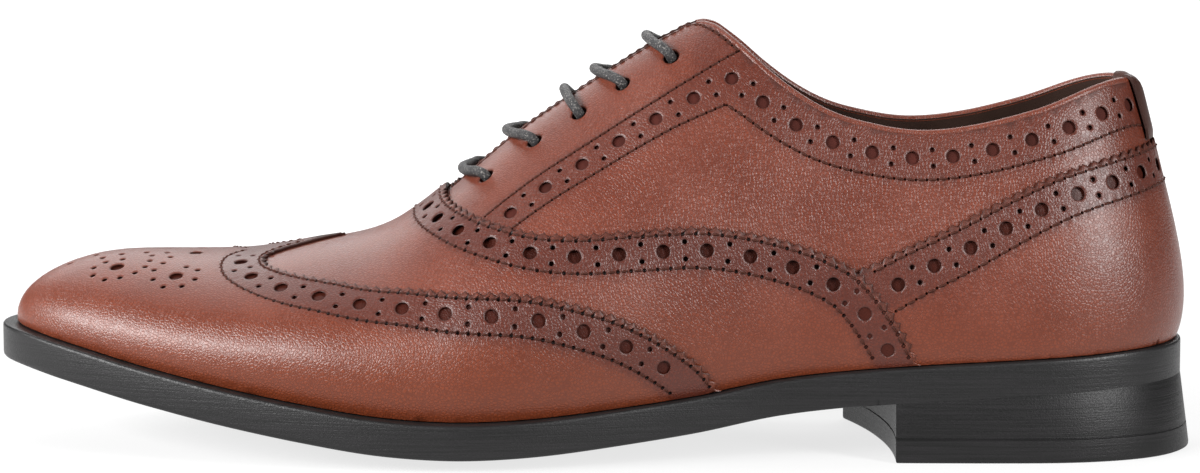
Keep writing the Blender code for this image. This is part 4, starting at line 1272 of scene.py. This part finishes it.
# Rows round the sole plate from the top's middle to the tread's middle: share of the half
# width, inset in mm, rise in mm, and 1 from the tread side on.
SOLE_ROWS = (
    (0.0, 0.0, 0.0, 0), (0.5, 0.0, 0.0, 0), (0.8, 0.0, 0.0, 0), (1.0, 2.4, 0.0, 0), (1.0, 0.9, 0.0, 0),
    (1.0, 0.35, -0.12, 0), (1.0, 0.08, -0.45, 0), (1.0, 0.0, -1.0, 0), (1.0, 0.0, -4.0, 0),
    (1.0, 0.0, 1.2, 1), (1.0, 0.12, 0.5, 1), (1.0, 0.45, 0.12, 1), (1.0, 1.0, 0.0, 1), (0.9, 0.0, 0.0, 1),
    (0.8, 0.0, 0.0, 1), (0.65, 0.0, 0.0, 1), (0.45, 0.0, 0.0, 1), (0.25, 0.0, 0.0, 1), (0.0, 0.0, 0.0, 1),
)


def make_sole():
    """The sole plate: welt ledge, rounded edges, toe spring and crowned tread."""
    stations = np.linspace(TOE_TIP, BACK, 260)
    heel = smoothstep(0.20 * LENGTH, 0.23 * LENGTH, stations)
    points, faces = [], []
    for side in (LATERAL, MEDIAL):
        half = sole_half_width(stations, side)
        start = len(points)
        for share, inset, rise, bottom in SOLE_ROWS:
            soft = (1 - heel) if bottom else 1.0
            out = np.maximum(half * share - inset * MM * soft, 0.0)
            flat = plan_point(stations, side, out)
            x = flat[:, 0]
            if bottom:
                z = crowned_bottom(x, out / half) + rise * MM * soft
            else:
                z = sole_top(x) + rise * MM
            points.extend(np.column_stack([flat, z]).tolist())
        faces += [tuple(start + i for i in f)
                  for f in grid_faces(len(SOLE_ROWS), len(stations), side == MEDIAL)]
    item = mesh_piece("sole_plate", points, faces)
    clean_solid(item, 0.02 * MM, RUBBER_ANGLE)
    return ready(item, RUBBER, "sole_rubber", "outsole")


def station_at(x, side):
    low, high = TOE_TIP, BACK
    for _ in range(EDGE_BISECTIONS):
        middle = (low + high) / 2
        here = plan_point(np.asarray(middle), side, sole_half_width(np.asarray(middle), side))
        if here[0] < x:
            low = middle
        else:
            high = middle
    return middle


def heel_loop(flare, inset):
    runs = []
    for side, share in ((LATERAL, BREAST_LATERAL), (MEDIAL, BREAST_MEDIAL)):
        start = station_at(share * LENGTH, side)
        run = np.linspace(start, BACK, 120)
        behind = clamp((run - HEEL_FAN_START) / HEEL_FAN_RUN)
        widen = flare * (FLARE_FRONT + (1 - FLARE_FRONT) * behind**2)
        runs.append(plan_point(run, side, sole_half_width(run, side) + widen - inset))
    lateral, medial = runs
    steps = np.linspace(0.0, 1.0, 41)[1:-1, None]
    breast = medial[0] + (lateral[0] - medial[0]) * steps
    breast[:, 0] += BREAST_BOW * 4 * steps[:, 0] * (1 - steps[:, 0])
    loop = np.concatenate([lateral, medial[-2::-1], breast])
    loop[:, 0] += inset * (loop[:, 0] < lateral[0][0] + 4 * MM)
    return loop


def make_heel():
    """Heel block and top lift as one moulding, with a groove where they meet."""
    lift = TOP_LIFT_THICKNESS
    rows = [(None, 0.6, 1.0), (None, 0.03, 0.0), (lift + 0.5 * MM, 0.0, 0.0), (lift + 0.25 * MM, 0.0, 0.0),
            (lift + 0.1 * MM, 0.25, 0.0), (lift - 0.1 * MM, 0.25, 0.0), (lift - 0.25 * MM, 0.0, 0.0),
            (lift - 0.6 * MM, 0.0, 0.0), (0.7 * MM, 0.0, 0.0), (0.2 * MM, 0.12, 0.0), (0.0, 0.5, 0.0)]
    rings = []
    for height, inset, rise in rows:
        share = 0.0 if height is None else 1 - height / HEEL_HEIGHT
        loop = heel_loop(HEEL_FLARE * share, inset * MM)
        z = sole_bottom(loop[:, 0]) + rise * MM if height is None else np.full(len(loop), height)
        rings.append(np.column_stack([loop, z]))
    item = mesh_piece("heel_block", np.concatenate(rings), tube_faces(len(rings), len(rings[0])))
    clean_solid(item, 0.01 * MM, RUBBER_ANGLE)
    return ready(item, SHADED_HEEL_RUBBER, "sole_rubber", "heel", "top_lift")


def dress_insole():
    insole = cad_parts["insole"]
    insole.data.materials.clear()
    insole.data.materials.append(LINING)


def make_floor():
    """A pale floor that glows as a light table does under the object and behind it."""
    bpy.ops.object.select_all(action="DESELECT")
    bpy.ops.mesh.primitive_plane_add(size=40.0, location=(0.0, 0.0, 0.0))
    floor = bpy.context.active_object
    floor.name = "floor"
    made, tree, shader = new_material("white_light_table")
    depth = add_node(tree, "ShaderNodeSeparateXYZ", {"Vector": object_place(tree)}).outputs["Y"]
    glow = math_node(tree, "ADD", remap(tree, depth, *TABLE_FRONT, 0.05, TABLE_GLOW),
                     remap(tree, depth, *TABLE_BACK, 0.0, 0.35))
    set_values(shader, tree, Base_Color=srgb("6C6C6C"), Roughness=0.95, Emission_Color=srgb("FFFFFF"),
               Emission_Strength=glow)
    floor.data.materials.append(made)


def add_light(name, turn, rise, far, size, power):
    """A soft box at a turn and rise in degrees round the shoe, seen from the camera's side."""
    target = Vector((0.0, 0.0, 0.05))
    turn, rise = math.radians(turn), math.radians(rise)
    way = Vector((math.sin(turn) * math.cos(rise), -math.cos(turn) * math.cos(rise), math.sin(rise)))
    lamp = bpy.data.lights.new(name, "AREA")
    lamp.shape = "RECTANGLE"
    lamp.size, lamp.size_y = size
    lamp.energy = power
    item = bpy.data.objects.new(name, lamp)
    item.location = target + way * far
    item.rotation_euler = (-way).to_track_quat("-Z", "Y").to_euler()
    bpy.context.scene.collection.objects.link(item)


def make_studio():
    world = bpy.data.worlds.new("studio")
    bpy.context.scene.world = world
    world.use_nodes = True
    sky = world.node_tree.nodes["Background"]
    sky.inputs[0].default_value = (1.0, 1.0, 1.0, 1.0)
    sky.inputs[1].default_value = SKY_GLOW
    for light in SOFT_BOXES:
        add_light(*light)


def make_camera():
    camera = bpy.data.cameras.new("photo_view")
    camera.lens = 111.9
    camera.sensor_width = 36.0
    item = bpy.data.objects.new("photo_view", camera)
    item.location = (0.0017, -0.950, 0.167)
    item.rotation_euler = (math.radians(90.0 - 6.9), 0.0, 0.0)
    bpy.context.scene.collection.objects.link(item)
    bpy.context.scene.camera = item


make_camera()
make_studio()
make_floor()
make_lining()
make_quarters()
make_vamp()
make_wing_cap()
make_counter()
make_topline_bead()
make_back_strip()
make_tongue()
make_lace()
make_bar_tack()
make_threads()
make_sole()
make_heel()
dress_insole()
bpy.context.scene.view_settings.view_transform = "Standard"
